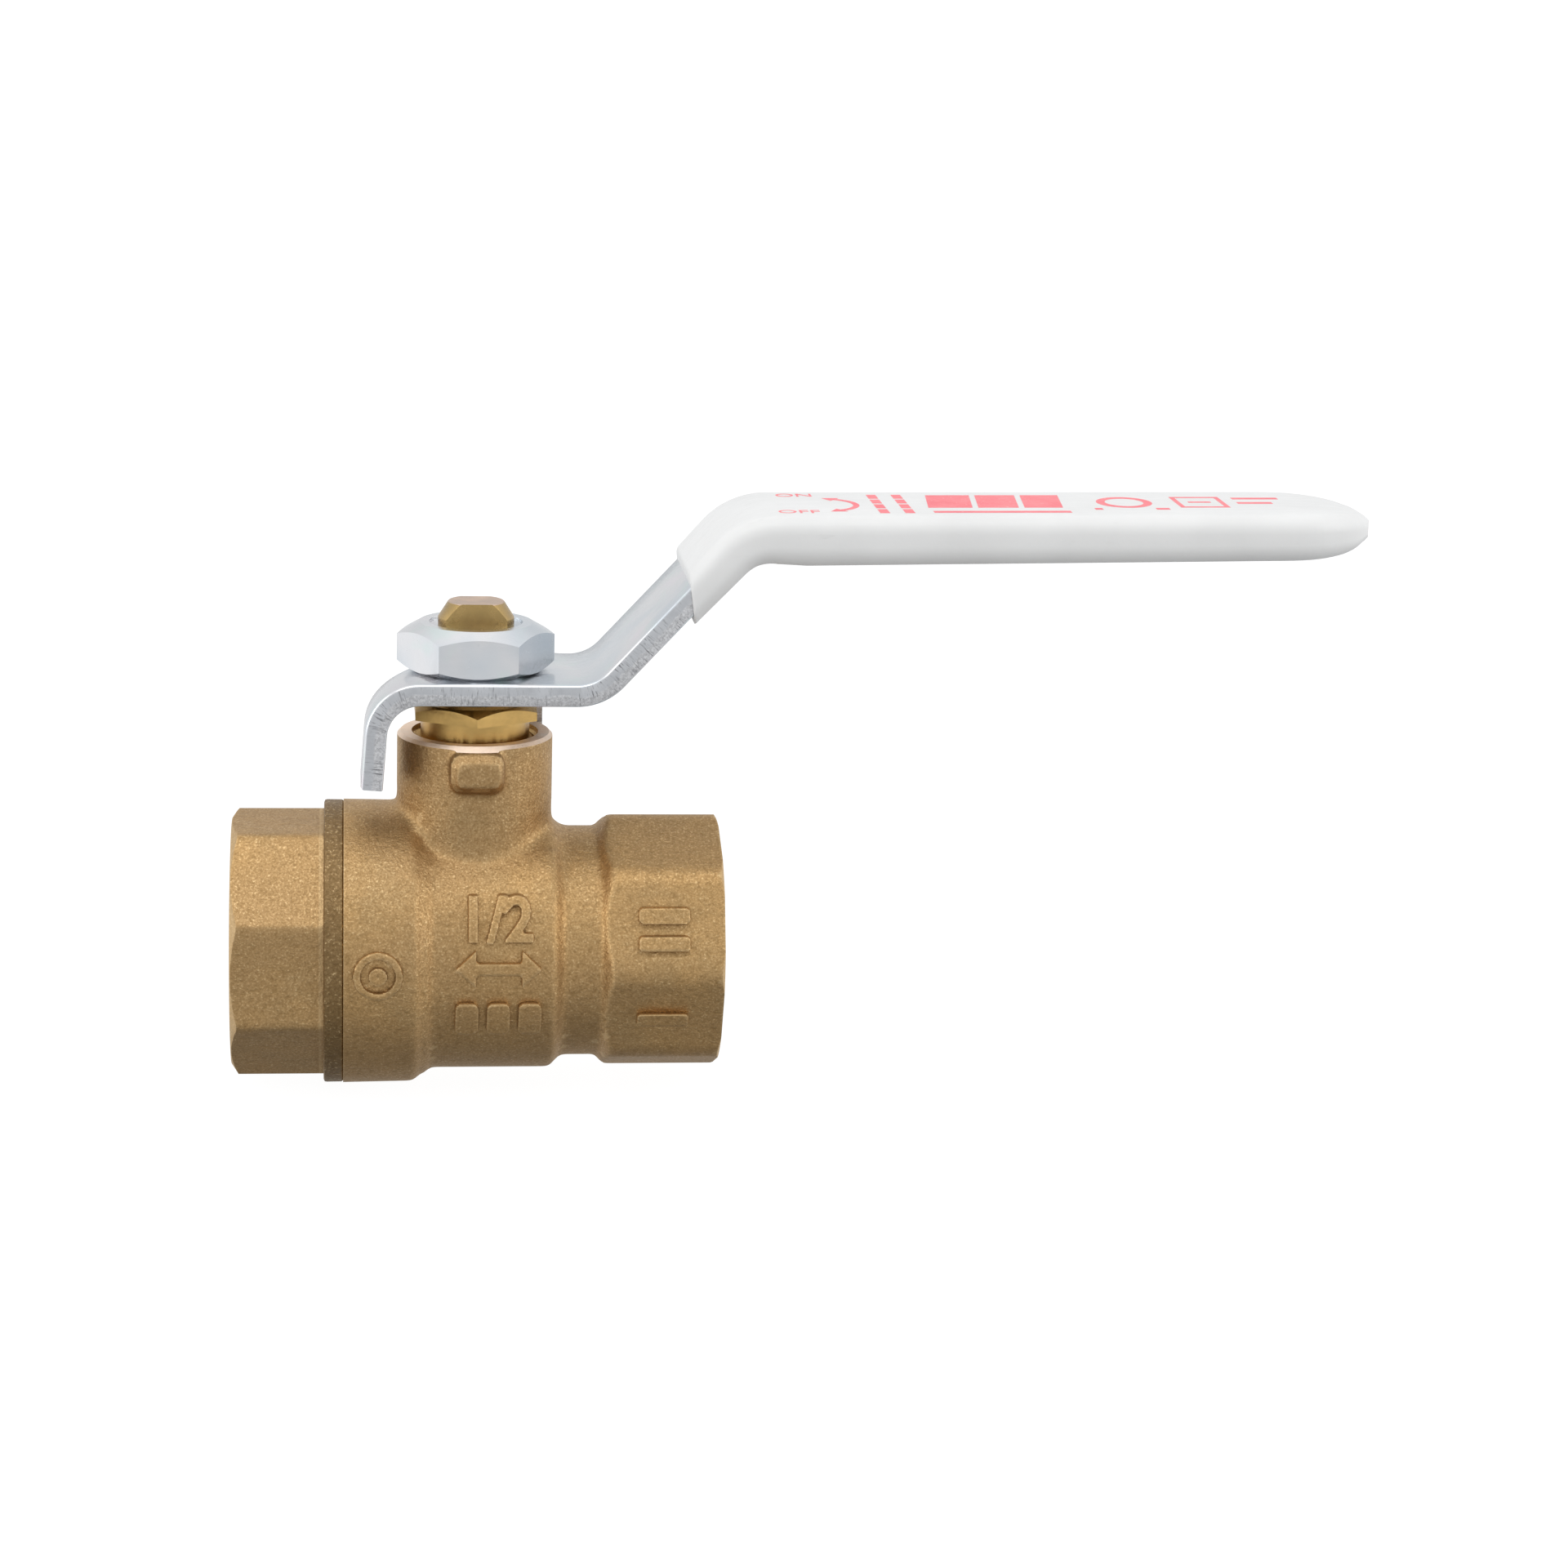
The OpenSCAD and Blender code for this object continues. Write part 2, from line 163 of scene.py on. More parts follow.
hand_x = bend_point(hand_start)[0]
strip_end = hand_start + (lever_high.x - hand_x) / cos(grip_rise)
grip_end = hand_start + (grip_high.x - hand_x) / cos(grip_rise)
mouth = lower_arc + 11.07
mouth_slant = 0.72
covered_half = 7.5
narrow_from = 18.97
head_x = 1.6
tail_line, tail_inner_r, tail_lean = -5.8, 3.35, radians(4)
tail_far = -1.4
tail_fillet = 3.55
tail_drop = lever_top - strip_t - tail_inner_r * (1 - sin(tail_lean)) - lever_low.z
tail_length = (tail_inner_r + strip_t / 2) * (pi / 2 - tail_lean) + tail_drop / cos(tail_lean)
ear_left, ear_right, ear_bottom = 2.8, 7.4, 18.2
ear_line, ear_inner_r = 8.3, 0.15
ear_length = (ear_inner_r + strip_t / 2) * pi / 2 + (lever_top - strip_t - ear_inner_r - ear_bottom)
grip_half = grip_high.y
grip_half_t = 2.42
mouth_half_t = 2.1
grip_skin = lever_mid + grip_half_t

# -------------------- hand tools


def assign(thing, **settings):
    for key, value in settings.items():
        setattr(thing, key, value)
    return thing


def pick(*pieces):
    """Selects only these objects, with the first one active."""
    bpy.ops.object.select_all(action="DESELECT")
    for piece in pieces:
        piece.select_set(True)
    bpy.context.view_layer.objects.active = pieces[0]


def edit(piece, kind="VERT"):
    pick(piece)
    bpy.ops.object.mode_set(mode="EDIT")
    bpy.ops.mesh.select_mode(type=kind)


def edit_all(piece):
    """Opens edit mode with everything selected."""
    edit(piece)
    bpy.ops.mesh.select_all(action="SELECT")


def leave():
    bpy.ops.object.mode_set(mode="OBJECT")


def slice_at(piece, place, way, **keep):
    """Cuts a piece along the plane through place that faces way."""
    edit_all(piece)
    bpy.ops.mesh.bisect(plane_co=place, plane_no=way, threshold=0.0001, **keep)
    leave()


def edit_where(piece, kind, wanted):
    """Opens edit mode with the vertices, edges or faces selected for which wanted is true."""
    edit(piece, kind)
    bpy.ops.mesh.select_all(action="DESELECT")
    leave()
    mesh = piece.data
    parts = {"VERT": mesh.vertices, "EDGE": mesh.edges, "FACE": mesh.polygons}[kind]
    for part in parts:
        part.select = wanted(part)
    bpy.ops.object.mode_set(mode="EDIT")


def heal(piece):
    """Merges doubled points and turns every face outwards."""
    edit_all(piece)
    bpy.ops.mesh.remove_doubles(threshold=0.002)
    bpy.ops.mesh.normals_make_consistent(inside=False)
    leave()
    return piece


def draw(name, points):
    """A chain of edges drawn from point to point."""
    bpy.ops.mesh.primitive_plane_add(size=1)
    piece = bpy.context.active_object
    piece.name = name
    edit_all(piece)
    bpy.ops.mesh.merge(type="CENTER")
    bpy.ops.transform.translate(value=points[0])
    for here, there in zip(points, points[1:]):
        step = Vector(there) - Vector(here)
        bpy.ops.mesh.extrude_vertices_move(TRANSFORM_OT_translate={"value": step})
    leave()
    return piece


def arc(centre, radius, start, end, steps):
    """Points round a circle, from start to end in degrees."""
    angles = [radians(start + (end - start) * i / steps) for i in range(steps + 1)]
    return [(centre[0] + radius * cos(a), centre[1] + radius * sin(a)) for a in angles]


def turned(name, profile, axis, steps=ROUND):
    """A solid spun from a profile of (radius, place along the axis)."""
    if axis == "X":
        points = [(place, 0, radius) for radius, place in profile]
    else:
        points = [(radius, 0, place) for radius, place in profile]
    piece = draw(name, points)
    edit_all(piece)
    line = (1, 0, 0) if axis == "X" else (0, 0, 1)
    bpy.ops.mesh.spin(steps=steps, angle=tau, center=(0, 0, 0), axis=line)
    leave()
    return heal(piece)


def extruded(name, points, reach):
    """A closed outline filled and pulled out by the vector reach."""
    piece = draw(name, points)
    edit_all(piece)
    bpy.ops.mesh.edge_face_add()
    bpy.ops.mesh.extrude_region_move(TRANSFORM_OT_translate={"value": reach})
    leave()
    return heal(piece)


def plate(name, outline, low, thick):
    """A flat outline filled at the height low and pulled up by thick."""
    return extruded(name, [(x, y, low) for x, y in outline], (0, 0, thick))


def modify(piece, kind, **settings):
    """Adds one modifier and applies it."""
    pick(piece)
    modifier = assign(piece.modifiers.new(kind.lower(), kind), **settings)
    bpy.ops.object.modifier_apply(modifier=modifier.name)


def combine(piece, other, how, solver="MANIFOLD"):
    """Joins, cuts or crosses two solids; the second one is used up."""
    modify(piece, "BOOLEAN", operation=how, solver=solver, object=other)
    bpy.data.objects.remove(other)
    return piece


def cut(piece, tool):
    return combine(piece, tool, "DIFFERENCE")


def fuse(piece, other):
    return combine(piece, other, "UNION")


def joined(piece, *others):
    pick(piece, *others)
    bpy.ops.object.join()
    return piece


def bevel_where(piece, wanted, width, segments):
    edit_where(piece, "EDGE", wanted)
    bpy.ops.mesh.bevel(offset=width, offset_type="OFFSET", segments=segments, profile=0.5)
    leave()


def forge(piece, grain, softness):
    """Turns a rough block into one skin with soft forged edges."""
    modify(piece, "REMESH", mode="VOXEL", voxel_size=grain)
    modify(piece, "SMOOTH", factor=0.5, iterations=softness)


def ease_edges(piece, width, angle, segments=2):
    limit = radians(angle)
    modify(piece, "BEVEL", width=width, segments=segments, limit_method="ANGLE", angle_limit=limit)


def thread(name, crest_r, root_r, pitch, low, high, axis):
    """A screw-shaped solid: one tooth wound up by a Screw modifier and cut off square at both ends."""
    land, half = pitch / 8, pitch / 2
    tooth = [(crest_r, 0), (crest_r, land), (root_r, half), (root_r, half + land), (crest_r, pitch)]
    piece = draw(name, [(radius, 0, low - 2 * pitch + place) for radius, place in tooth])
    turns = ceil((high - low) / pitch) + 3
    modify(
        piece, "SCREW", axis="Z", screw_offset=pitch, iterations=turns, steps=72, render_steps=72,
        use_merge_vertices=False, use_normal_calculate=True,
    )
    heal(piece)
    slice_at(piece, (0, 0, low), (0, 0, 1), use_fill=True, clear_inner=True)
    slice_at(piece, (0, 0, high), (0, 0, 1), use_fill=True, clear_outer=True)
    if axis == "X":
        piece.data.transform(Matrix.Rotation(pi / 2, 4, "Y"))
    return heal(piece)


def give(piece, materials):
    piece.data.materials.clear()
    for material in materials:
        piece.data.materials.append(material)


def finished(piece, body, materials, smooth=30):
    """Brings a piece to metres, gives it its finish and hangs it on its body."""
    piece.data.transform(Matrix.Scale(MM, 4))
    pick(piece)
    bpy.ops.object.shade_smooth_by_angle(angle=radians(smooth))
    if materials:
        give(piece, materials)
    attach(piece, body)


def finish_faces(piece, materials, choose):
    """Gives every face the material whose number choose(face) returns."""
    give(piece, materials)
    for face in piece.data.polygons:
        face.material_index = choose(face)


# -------------------- materials


def set_inputs(node, values):
    for name, value in values.items():
        node.inputs[name].default_value = value


class Nodes:
    """A node tree built up one step at a time."""

    def __init__(self, tree):
        self.tree = tree

    def node(self, kind, **settings):
        return assign(self.tree.nodes.new("ShaderNode" + kind), **settings)

    def link(self, source, target):
        self.tree.links.new(source, target)

    def band(self, value, low, high, to_low=0.0, to_high=1.0):
        """A value stretched so that low..high becomes to_low..to_high, and held there."""
        made = self.node("MapRange")
        set_inputs(made, {"From Min": low, "From Max": high, "To Min": to_low, "To Max": to_high})
        self.link(value, made.inputs["Value"])
        return made.outputs["Result"]

    def math(self, operation, *values):
        made = self.node("Math", operation=operation)
        for socket, value in zip(made.inputs, values):
            if isinstance(value, float):
                socket.default_value = value
            else:
                self.link(value, socket)
        return made.outputs[0]


class Finish(Nodes):
    """A metal, plastic or paper surface. Patterns and bumps are sized in millimetres."""

    def __init__(self, name, metallic, roughness):
        self.material = bpy.data.materials.new(name)
        self.material.use_nodes = True
        super().__init__(self.material.node_tree)
        self.shader = self.tree.nodes["Principled BSDF"]
        self.set(Metallic=metallic, Roughness=roughness)
        self.height = None

    def set(self, **values):
        """Plain values of the shader, with _ for the spaces in their names."""
        set_inputs(self.shader, {name.replace("_", " "): value for name, value in values.items()})

    def mapped(self, source, stretch, lean=0.0):
        """A place stretched by axis and turned about Y by lean."""
        made = self.node("Mapping")
        set_inputs(made, {"Rotation": (0, lean, 0), "Scale": stretch})
        self.link(source, made.inputs["Vector"])
        return made.outputs["Vector"]

    def place(self, stretch=(1, 1, 1), attribute=None, lean=0.0):
        """Where a pattern is read: the piece's own place, or a named attribute, stretched by axis."""
        if attribute:
            source = self.node("Attribute", attribute_name=attribute).outputs["Vector"]
        else:
            source = self.node("TexCoord").outputs["Object"]
        return self.mapped(source, [s / MM for s in stretch], lean)

    def around(self, axis):
        """A place read as (distance from the axis, along the axis), in thousandths of a millimetre.

        Marks read from it are too fine to be told apart: they dull the surface evenly.
        """
        split = self.node("SeparateXYZ")
        self.link(self.place(), split.inputs[0])
        flat = self.node("CombineXYZ")
        others = [a for a in "XYZ" if a != axis]
        for target, name in zip("XY", others):
            self.link(split.outputs[name], flat.inputs[target])
        length = self.node("VectorMath", operation="LENGTH")
        self.link(flat.outputs[0], length.inputs[0])
        spot = self.node("CombineXYZ")
        self.link(length.outputs["Value"], spot.inputs["X"])
        self.link(split.outputs[axis], spot.inputs["Z"])
        return self.mapped(spot.outputs[0], (1 / MM, 1, 1 / MM))

    def noise(self, place, size, detail=2.0, rough=0.5, warp=0.0):
        made = self.node("TexNoise")
        set_inputs(made, {"Scale": 1 / size, "Detail": detail, "Roughness": rough, "Distortion": warp})
        self.link(place, made.inputs["Vector"])
        return made.outputs["Fac"]

    def blend(self, amount, one, two):
        """Colour one turning into colour two as amount goes from 0 to 1."""
        made = self.node("Mix", data_type="RGBA")
        colours = [s for s in made.inputs if s.type == "RGBA"]
        for socket, value in zip(colours, (one, two)):
            if isinstance(value, tuple):
                socket.default_value = (*value, 1)
            else:
                self.link(value, socket)
        self.link(amount, made.inputs["Factor"])
        return next(s for s in made.outputs if s.type == "RGBA")

    def edges(self, size):
        """1 on sharp outer edges and 0 in hollows, from the shape itself."""
        made = self.node("NewGeometry")
        return self.band(made.outputs["Pointiness"], 0.5 - size, 0.5 + size)

    def colour(self, source):
        self.link(source, self.shader.inputs["Base Color"])

    def roughness(self, pattern, *levels):
        self.link(self.band(pattern, *levels), self.shader.inputs["Roughness"])

    def bump(self, source, depth):
        """Raises the surface by depth millimetres; steps add up."""
        made = self.node("Bump")
        set_inputs(made, {"Strength": 1.0, "Distance": depth * MM})
        self.link(source, made.inputs["Height"])
        if self.height:
            self.link(self.height, made.inputs["Normal"])
        self.height = made.outputs["Normal"]
        self.link(self.height, self.shader.inputs["Normal"])


def forged_brass(name="forged_brass", dark=0.95, grain=1.0, edge_highlight=0.42):
    """Shot-blasted forging: fine bright and dark grains over slow brown patches, with a painted highlight on
    sharp edges and painted shade in hollows.
    """
    f = Finish(name, 1.0, 0.5)
    place = f.place()
    fine = f.noise(place, 0.22 * grain, 3, 0.6)
    coarse = f.noise(place, 0.55 * grain, 2, 0.6)
    patch = f.noise(place, 7.0, 3, 0.55)
    drift = f.noise(place, 16.0, 2, 0.5)
    tone = lambda *parts: tuple(part * dark for part in parts)
    base = f.blend(f.band(drift, 0.38, 0.62), tone(0.50, 0.325, 0.155), tone(0.58, 0.37, 0.165))
    base = f.blend(f.band(patch, 0.5, 0.75, 0, 0.55), base, tone(0.44, 0.31, 0.16))
    base = f.blend(f.band(fine, 0.35, 0.62, 0.45, 0.0), base, tone(0.24, 0.135, 0.045))
    base = f.blend(f.band(fine, 0.6, 0.72, 0.0, 0.6), base, (0.86, 0.65, 0.36))
    base = f.blend(f.band(coarse, 0.3, 0.5, 0.5, 0.0), base, tone(0.30, 0.18, 0.07))
    # painted light from the shape's pointiness: sharp outer edges lightened as a painted highlight, hollows
    # darkened as painted shade
    edge_light_and_shade = f.edges(0.1)
    base = f.blend(f.band(edge_light_and_shade, 0.56, 0.85, 0.0, edge_highlight), base, (0.72, 0.53, 0.29))
    base = f.blend(f.band(edge_light_and_shade, 0.44, 0.15, 0.0, 0.75), base, tone(0.20, 0.12, 0.05))
    f.colour(base)
    f.roughness(fine, 0.3, 0.7, 0.58, 0.42)
    f.bump(coarse, 0.065 * grain)
    f.bump(fine, 0.05 * grain)
    f.bump(f.noise(place, 2.4, 2), 0.09)
    return f.material


def turned_brass(name, axis, colour, rough, mark):
    """Brass from the lathe: very fine marks round the axis, a little smear and tarnish."""
    f = Finish(name, 1.0, rough)
    rings = f.noise(f.around(axis), mark, 3, 0.7)
    cloud = f.noise(f.place(), 2.6, 3, 0.6)
    speck = f.noise(f.place(), 0.25, 2, 0.6)
    tone = lambda amount: tuple(amount * part for part in colour)
    base = f.blend(f.band(cloud, 0.35, 0.65), tone(0.9), tone(1.12))
    base = f.blend(f.band(rings, 0.45, 0.3, 0, 0.5), base, tone(0.55))
    base = f.blend(f.band(speck, 0.66, 0.75, 0, 0.4), base, tone(0.45))
    f.colour(base)
    f.roughness(cloud, 0.3, 0.7, rough * 0.8, rough * 1.35)
    f.bump(rings, 0.012)
    f.bump(speck, 0.004)
    return f.material


def zinc_plate():
    """Bright zinc plating with a faint blue, rose and green bloom and fine rolling scratches."""
    f = Finish("zinc_plate", 1.0, 0.2)
    place = f.place()
    bloom = f.noise(place, 7.5, 1, 0.4, 0.6)
    second = f.noise(place, 3.6, 2, 0.5)
    scratch = f.noise(f.place((0.12, 2.2, 1.0)), 0.5, 3, 0.6)
    speck = f.noise(place, 0.3, 2, 0.6)
    base = f.blend(f.band(bloom, 0.35, 0.6), (0.62, 0.655, 0.69), (0.72, 0.715, 0.725))
    base = f.blend(f.band(second, 0.55, 0.72, 0, 0.4), base, (0.62, 0.74, 0.70))
    base = f.blend(f.band(bloom, 0.62, 0.75, 0, 0.5), base, (0.80, 0.69, 0.76))
    base = f.blend(f.band(speck, 0.68, 0.78, 0, 0.3), base, (0.40, 0.43, 0.47))
    f.colour(base)
    f.roughness(scratch, 0.3, 0.7, 0.15, 0.28)
    f.bump(scratch, 0.006)
    f.bump(f.noise(place, 2.0, 2), 0.02)
    return f.material


def sheared_steel():
    """The cut edge of the strip: a smooth sheared band above, a torn rough band below, dark nicks across."""
    f = Finish("sheared_steel", 1.0, 0.35)
    blank = f.place(attribute="blank")
    depth = f.node("SeparateXYZ")
    f.link(blank, depth.inputs[0])
    wander = f.noise(blank, 2.2, 3, 0.6)
    level = f.math("ADD", depth.outputs["Z"], f.math("MULTIPLY", wander, 1.1))
    torn = f.band(level, lever_mid + 0.62, lever_mid + 0.42)
    nicks = f.noise(f.place((1, 1, 0.14), "blank"), 0.2, 3, 0.65)
    grit = f.noise(blank, 0.22, 3, 0.7)
    base = f.blend(f.band(wander, 0.3, 0.7), (0.50, 0.51, 0.53), (0.62, 0.63, 0.65))
    rough_side = f.blend(f.band(grit, 0.3, 0.65), (0.42, 0.42, 0.43), (0.74, 0.74, 0.75))
    base = f.blend(torn, base, rough_side)
    nicked = f.math("MULTIPLY", f.band(nicks, 0.46, 0.36), f.band(wander, 0.42, 0.6))
    base = f.blend(nicked, base, (0.24, 0.24, 0.25))
    f.colour(base)
    f.roughness(torn, 0, 1, 0.3, 0.5)
    f.bump(nicks, 0.025)
    f.bump(f.math("MULTIPLY", grit, torn), 0.03)
    return f.material


def torn_steel():
    """A grey-brown guillotined face with slanting tear marks."""
    f = Finish("torn_steel", 1.0, 0.45)
    tears = f.noise(f.place((0.25, 1, 1.6), lean=radians(38)), 0.5, 3, 0.6)
    grit = f.noise(f.place(), 0.25, 2, 0.6)
    base = f.blend(f.band(tears, 0.35, 0.65), (0.26, 0.22, 0.19), (0.55, 0.50, 0.46))
    base = f.blend(f.band(grit, 0.3, 0.5, 0.5, 0), base, (0.13, 0.11, 0.10))
    f.colour(base)
    f.bump(tears, 0.08)
    f.bump(grit, 0.03)
    return f.material


def dipped_vinyl():
    """White dipped vinyl: satin, a little cloudy, with a soft orange-peel skin."""
    f = Finish("dipped_vinyl", 0.0, 0.36)
    place = f.place()
    cloud = f.noise(place, 9.0, 3, 0.55)
    peel = f.noise(place, 1.6, 2, 0.5)
    scuff = f.noise(f.place((0.25, 1, 1)), 0.9, 3, 0.6)
    base = f.blend(f.band(cloud, 0.3, 0.7), (0.725, 0.72, 0.71), (0.68, 0.675, 0.665))
    base = f.blend(f.band(scuff, 0.66, 0.8, 0, 0.35), base, (0.58, 0.575, 0.56))
    f.colour(base)
    f.roughness(scuff, 0.3, 0.75, 0.3, 0.46)
    f.set(IOR=1.5, Subsurface_Weight=0.12, Subsurface_Radius=(1.0, 0.95, 0.9), Subsurface_Scale=0.8 * MM)
    f.bump(peel, 0.02)
    f.bump(f.noise(place, 0.35, 2), 0.004)
    return f.material


def red_ink():
    """Pad-printed red ink, thin enough to look a little worn."""
    f = Finish("red_ink", 0.0, 0.42)
    place = f.place()
    worn = f.noise(place, 0.45, 3, 0.6)
    tone = f.noise(place, 3.0, 2)
    base = f.blend(f.band(tone, 0.3, 0.7), (0.80, 0.12, 0.15), (0.87, 0.19, 0.21))
    base = f.blend(f.band(worn, 0.62, 0.74, 0, 0.75), base, (0.90, 0.62, 0.62))
    f.colour(base)
    f.roughness(worn, 0.3, 0.7, 0.36, 0.5)
    f.bump(worn, 0.01)
    return f.material


def white_plastic():
    """Seat and packing plastic: waxy white, a little cloudy."""
    f = Finish("seat_plastic", 0.0, 0.38)
    rings = f.noise(f.around("X"), 0.3, 2)
    cloud = f.noise(f.place(), 2.5, 2)
    f.colour(f.blend(f.band(cloud, 0.3, 0.7), (0.80, 0.80, 0.76), (0.86, 0.86, 0.83)))
    f.roughness(rings, 0.3, 0.7, 0.3, 0.46)
    f.bump(rings, 0.01)
    return f.material


def plated_ball():
    """Chrome over brass: near mirror, with faint polishing marks."""
    f = Finish("plated_ball", 1.0, 0.08)
    marks = f.noise(f.place((0.3, 1.5, 1.0)), 0.6, 3, 0.6)
    cloud = f.noise(f.place(), 4.0, 2)
    f.colour(f.blend(f.band(cloud, 0.3, 0.7), (0.78, 0.79, 0.80), (0.84, 0.84, 0.84)))
    f.roughness(marks, 0.3, 0.7, 0.05, 0.14)
    f.bump(marks, 0.003)
    return f.material


forging = forged_brass()
flange_brass = forged_brass("flange_brass", dark=0.5, grain=1.3, edge_highlight=0.0)
bored_brass = turned_brass("bored_brass", "X", (0.66, 0.45, 0.19), 0.3, 0.35)
rim_brass = turned_brass("rim_brass", "Z", (0.84, 0.67, 0.53), 0.42, 0.3)
gland_brass = turned_brass("gland_brass", "Z", (0.50, 0.32, 0.11), 0.2, 0.25)
stem_brass = turned_brass("stem_brass", "Z", (0.44, 0.30, 0.12), 0.24, 0.3)
tip_brass = turned_brass("sawn_brass", "Z", (0.56, 0.43, 0.34), 0.45, 0.2)
zinc = zinc_plate()
sheared = sheared_steel()
torn = torn_steel()
vinyl = dipped_vinyl()
ink = red_ink()
plastic = white_plastic()
chrome = plated_ball()

# -------------------- brass body and end cap


def octagon_bar(name, flats, corner_r, start, end, turn=0.0):
    """Eight-sided bar along X with a corner uppermost, its long edges rounded."""
    corner = flats / 2 / cos(pi / 8)
    bar = turned(name, [(0, start), (corner, start), (corner, end), (0, end)], "X", steps=8)
    long_edges = lambda edge: edge_runs(bar, edge, "x") and edge_radius(bar, edge) > 1
    bevel_where(bar, long_edges, corner_r * tan(pi / 8), 5)
    bar.data.transform(Matrix.Rotation(turn, 4, "X"))
    return bar


def ends_of(piece, edge):
    return [piece.data.vertices[i].co for i in edge.vertices]


def edge_runs(piece, edge, axis):
    first, last = ends_of(piece, edge)
    return abs(getattr(last - first, axis)) > 0.95 * (last - first).length


def edge_radius(piece, edge):
    """How far the middle of an edge lies from the bore's axis."""
    middle = sum(ends_of(piece, edge), Vector()) / 2
    return hypot(middle.y, middle.z)


def slab(name, left, right, low, high, near, far, corner=0.9):
    """Block with rounded upright corners, lying along Y from near to far."""
    corners = [(right, high), (left, high), (left, low), (right, low)]
    mid_x, mid_z = (left + right) / 2, (low + high) / 2
    outline = []
    for turn, (x, z) in enumerate(corners):
        centre = (x - copysign(corner, x - mid_x), z - copysign(corner, z - mid_z))
        outline += arc(centre, corner, 90 * turn, 90 * turn + 90, 4)
    return extruded(name, [(x, near, z) for x, z in outline], (0, far - near, 0))


def body_skin():
    """The forging before any machining."""
    draft = 0.07
    skin = turned("brass_body", [
        (0, barrel_start - 1),
        (barrel_r + draft, barrel_start - 1),
        *arc((barrel_r - 1.25, shoulder_x), 1.2, 0, 65, 6),
        *arc((middle_r + 1, -4.1), 1, 245, 180, 6),
        *arc((middle_r - 0.9, middle_end), 0.9, 0, 60, 5),
        *arc((waist_r + 0.9, middle_end + 1.9), 0.9, 240, 180, 5),
        (waist_r, octagon_start + 3),
        (0, octagon_start + 3),
    ], "X")
    octagon = octagon_bar("octagon", octagon_flats, octagon_corner_r, octagon_start, port_face + 1)
    collar = turned("collar", [
        (0, octagon_start - 1),
        (waist_r - 0.5, octagon_start - 0.2),
        (octagon_flats / 2 + 1.1, octagon_start + 1.7),
        (octagon_flats / 2 + 1.1, port_face + 2),
        (0, port_face + 2),
    ], "X")
    combine(octagon, collar, "INTERSECT")
    neck = turned("neck", [(0, 0), (neck_r, 0), (neck_r, neck_top + 1), (0, neck_top + 1)], "Z")
    rear = slab("rear_lug", -rear_lug_left, lug_half, lug_low, lug_top, 5, rear_lug_reach)
    front = slab("front_pad", -2.1, 2.4, 18.4, 21.25, -5, -9.35, 0.7)
    skirt = slab("pad_foot", -lug_half, lug_half, lug_low, lug_top, -5, -8.75)
    joined(skin, octagon, neck, rear, front, skirt)
    forge(skin, 0.3, 7)
    crease = lambda v: v.co.z > 6 and abs(hypot(v.co.x, v.co.y) - neck_r) < 2.2 and near_bar(v.co)
    edit_where(skin, "VERT", crease)
    bpy.ops.mesh.vertices_smooth(factor=0.5, repeat=16)
    leave()
    return skin


def near_bar(spot):
    """True close to the surface of the bar that the neck stands on."""
    bar_r = barrel_r if spot.x < shoulder_x else middle_r if spot.x < middle_end + 1 else waist_r
    return abs(hypot(spot.y, spot.z) - bar_r) < 2.0 or spot.x < shoulder_x + 2 and spot.z < 15.5


def lettering(letters, size, place=(0, 0, 0), lean=0.0, **settings):
    """Solid letters centred on a place, lying flat or turned about X by lean."""
    bpy.ops.object.text_add(location=place, rotation=(lean, 0, 0))
    word = bpy.context.active_object
    assign(word.data, body=letters, size=size, align_x="CENTER", align_y="CENTER", **settings)
    bpy.ops.object.convert(target="MESH")
    bpy.ops.object.transform_apply(location=True, rotation=True, scale=True)
    return heal(word)


def ring_mark(name, x, z, outer, inner):
    """A ring seen from the front, cut as a tube along Y."""
    tube = turned(name, [(inner, -6), (outer, -6), (outer, 6), (inner, 6), (inner, -6)], "Z", steps=40)
    tube.data.transform(Matrix.Translation((x, 0, z)) @ Matrix.Rotation(pi / 2, 4, "X"))
    return tube


def arrow_mark(name, x, z, half, stroke):
    """A double-headed flow arrow along the bore."""
    head = 2.1
    tall = 2.0
    outline = [
        (-half, 0), (-half + head, tall), (-half + head, stroke), (half - head, stroke),
        (half - head, tall), (half, 0), (half - head, -tall), (half - head, -stroke),
        (-half + head, -stroke), (-half + head, -tall),
    ]
    return extruded(name, [(x + a, 6, z + b) for a, b in outline], (0, -12, 0))


def bar_mark(name, left, right, low, high):
    return slab(name, left, right, low, high, 6, -6, min(high - low, right - left) * 0.3)


def raise_marks(piece, marks, shell):
    """Raised marks: the outlines cut through a slightly larger shell, softened and fused to the piece."""
    block = marks[0]
    joined(*marks)
    block.data.transform(Matrix.Translation((0, -12.5, 0)))
    combine(block, shell, "INTERSECT", "EXACT")
    forge(block, 0.16, 2)
    fuse(piece, block)


